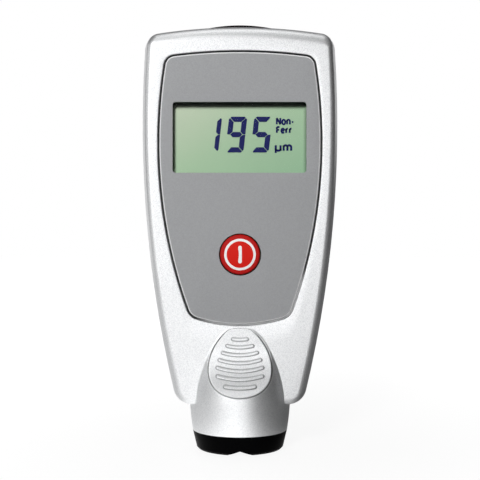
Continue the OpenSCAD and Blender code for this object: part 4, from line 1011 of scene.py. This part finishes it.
def add_light(name, place, size, power, aim_z=0.06, diffuse=True, glossy=True):
    """Square lamp at a place, turned to a point up the gauge's axis, with its diffuse light or its reflection
    left out where asked."""
    data = bpy.data.lights.new(name, "AREA")
    data.shape, data.size, data.energy = "SQUARE", size, power
    lamp = new_object(name, data)
    lamp.visible_diffuse, lamp.visible_glossy = diffuse, glossy
    away = np.array((0, 0, aim_z), float) - np.array(place, float)
    lamp.location = place
    lamp.rotation_mode = "QUATERNION"
    lamp.rotation_quaternion = Vector(away).to_track_quat("-Z", "Y")


def sky(strength, seen):
    """Even white light all round, with a strength of its own for the camera."""
    world = bpy.data.worlds.new("studio")
    bpy.context.scene.world = world
    world.use_nodes = True
    nodes, links = world.node_tree.nodes, world.node_tree.links
    nodes.clear()
    mix = nodes.new("ShaderNodeMixShader")
    path = nodes.new("ShaderNodeLightPath")
    links.new(path.outputs["Is Camera Ray"], mix.inputs["Fac"])
    for socket, value in zip(mix.inputs[1:], (strength, seen)):
        light = nodes.new("ShaderNodeBackground")
        light.inputs["Color"].default_value = grey(1)
        light.inputs["Strength"].default_value = value
        links.new(light.outputs[0], socket)
    links.new(mix.outputs[0], nodes.new("ShaderNodeOutputWorld").inputs["Surface"])


stage_floor()
sky(0.016, 1.0)
add_light("key", (-0.31, -1.04, 0.64), 0.26, 13.8, glossy=False)
add_light("key_sheen", (-0.45, -1.0, 0.62), 0.4, 3.6, diffuse=False)
add_light("left_box", (-0.88, 0.15, 0.34), 0.4, 0.5, aim_z=0.08)
add_light("left_side_box", (-0.92, -0.32, 0.34), 0.4, 0.4, aim_z=0.08, diffuse=False)
add_light("left_front_box", (-0.66, -0.95, 0.22), 0.5, 1.5, diffuse=False)
add_light("over_box", (0, -0.1, 1.15), 0.6, 2.0, diffuse=False)
add_light("back_box", (-0.38, 0.95, 0.3), 0.6, 1.3)
add_light("right_back_box", (0.52, 0.9, 0.46), 0.6, 1.05, aim_z=0.08, diffuse=False)
add_light("top_box", (-0.1, -0.62, 0.95), 0.7, 0.7, diffuse=False)
add_light("front_box", (0.08, -1.0, 0.1), 0.45, 1.7, diffuse=False)

lens = bpy.data.cameras.new("photo_camera")
lens.lens, lens.sensor_width = 73.3, 36
lens.clip_start, lens.clip_end = 0.01, 20
camera = new_object("photo_camera", lens)
camera.location = (0, -0.290, 0.0613)
camera.rotation_euler = (math.pi / 2, 0, 0)
bpy.context.scene.camera = camera
bpy.context.scene.view_settings.view_transform = "Standard"
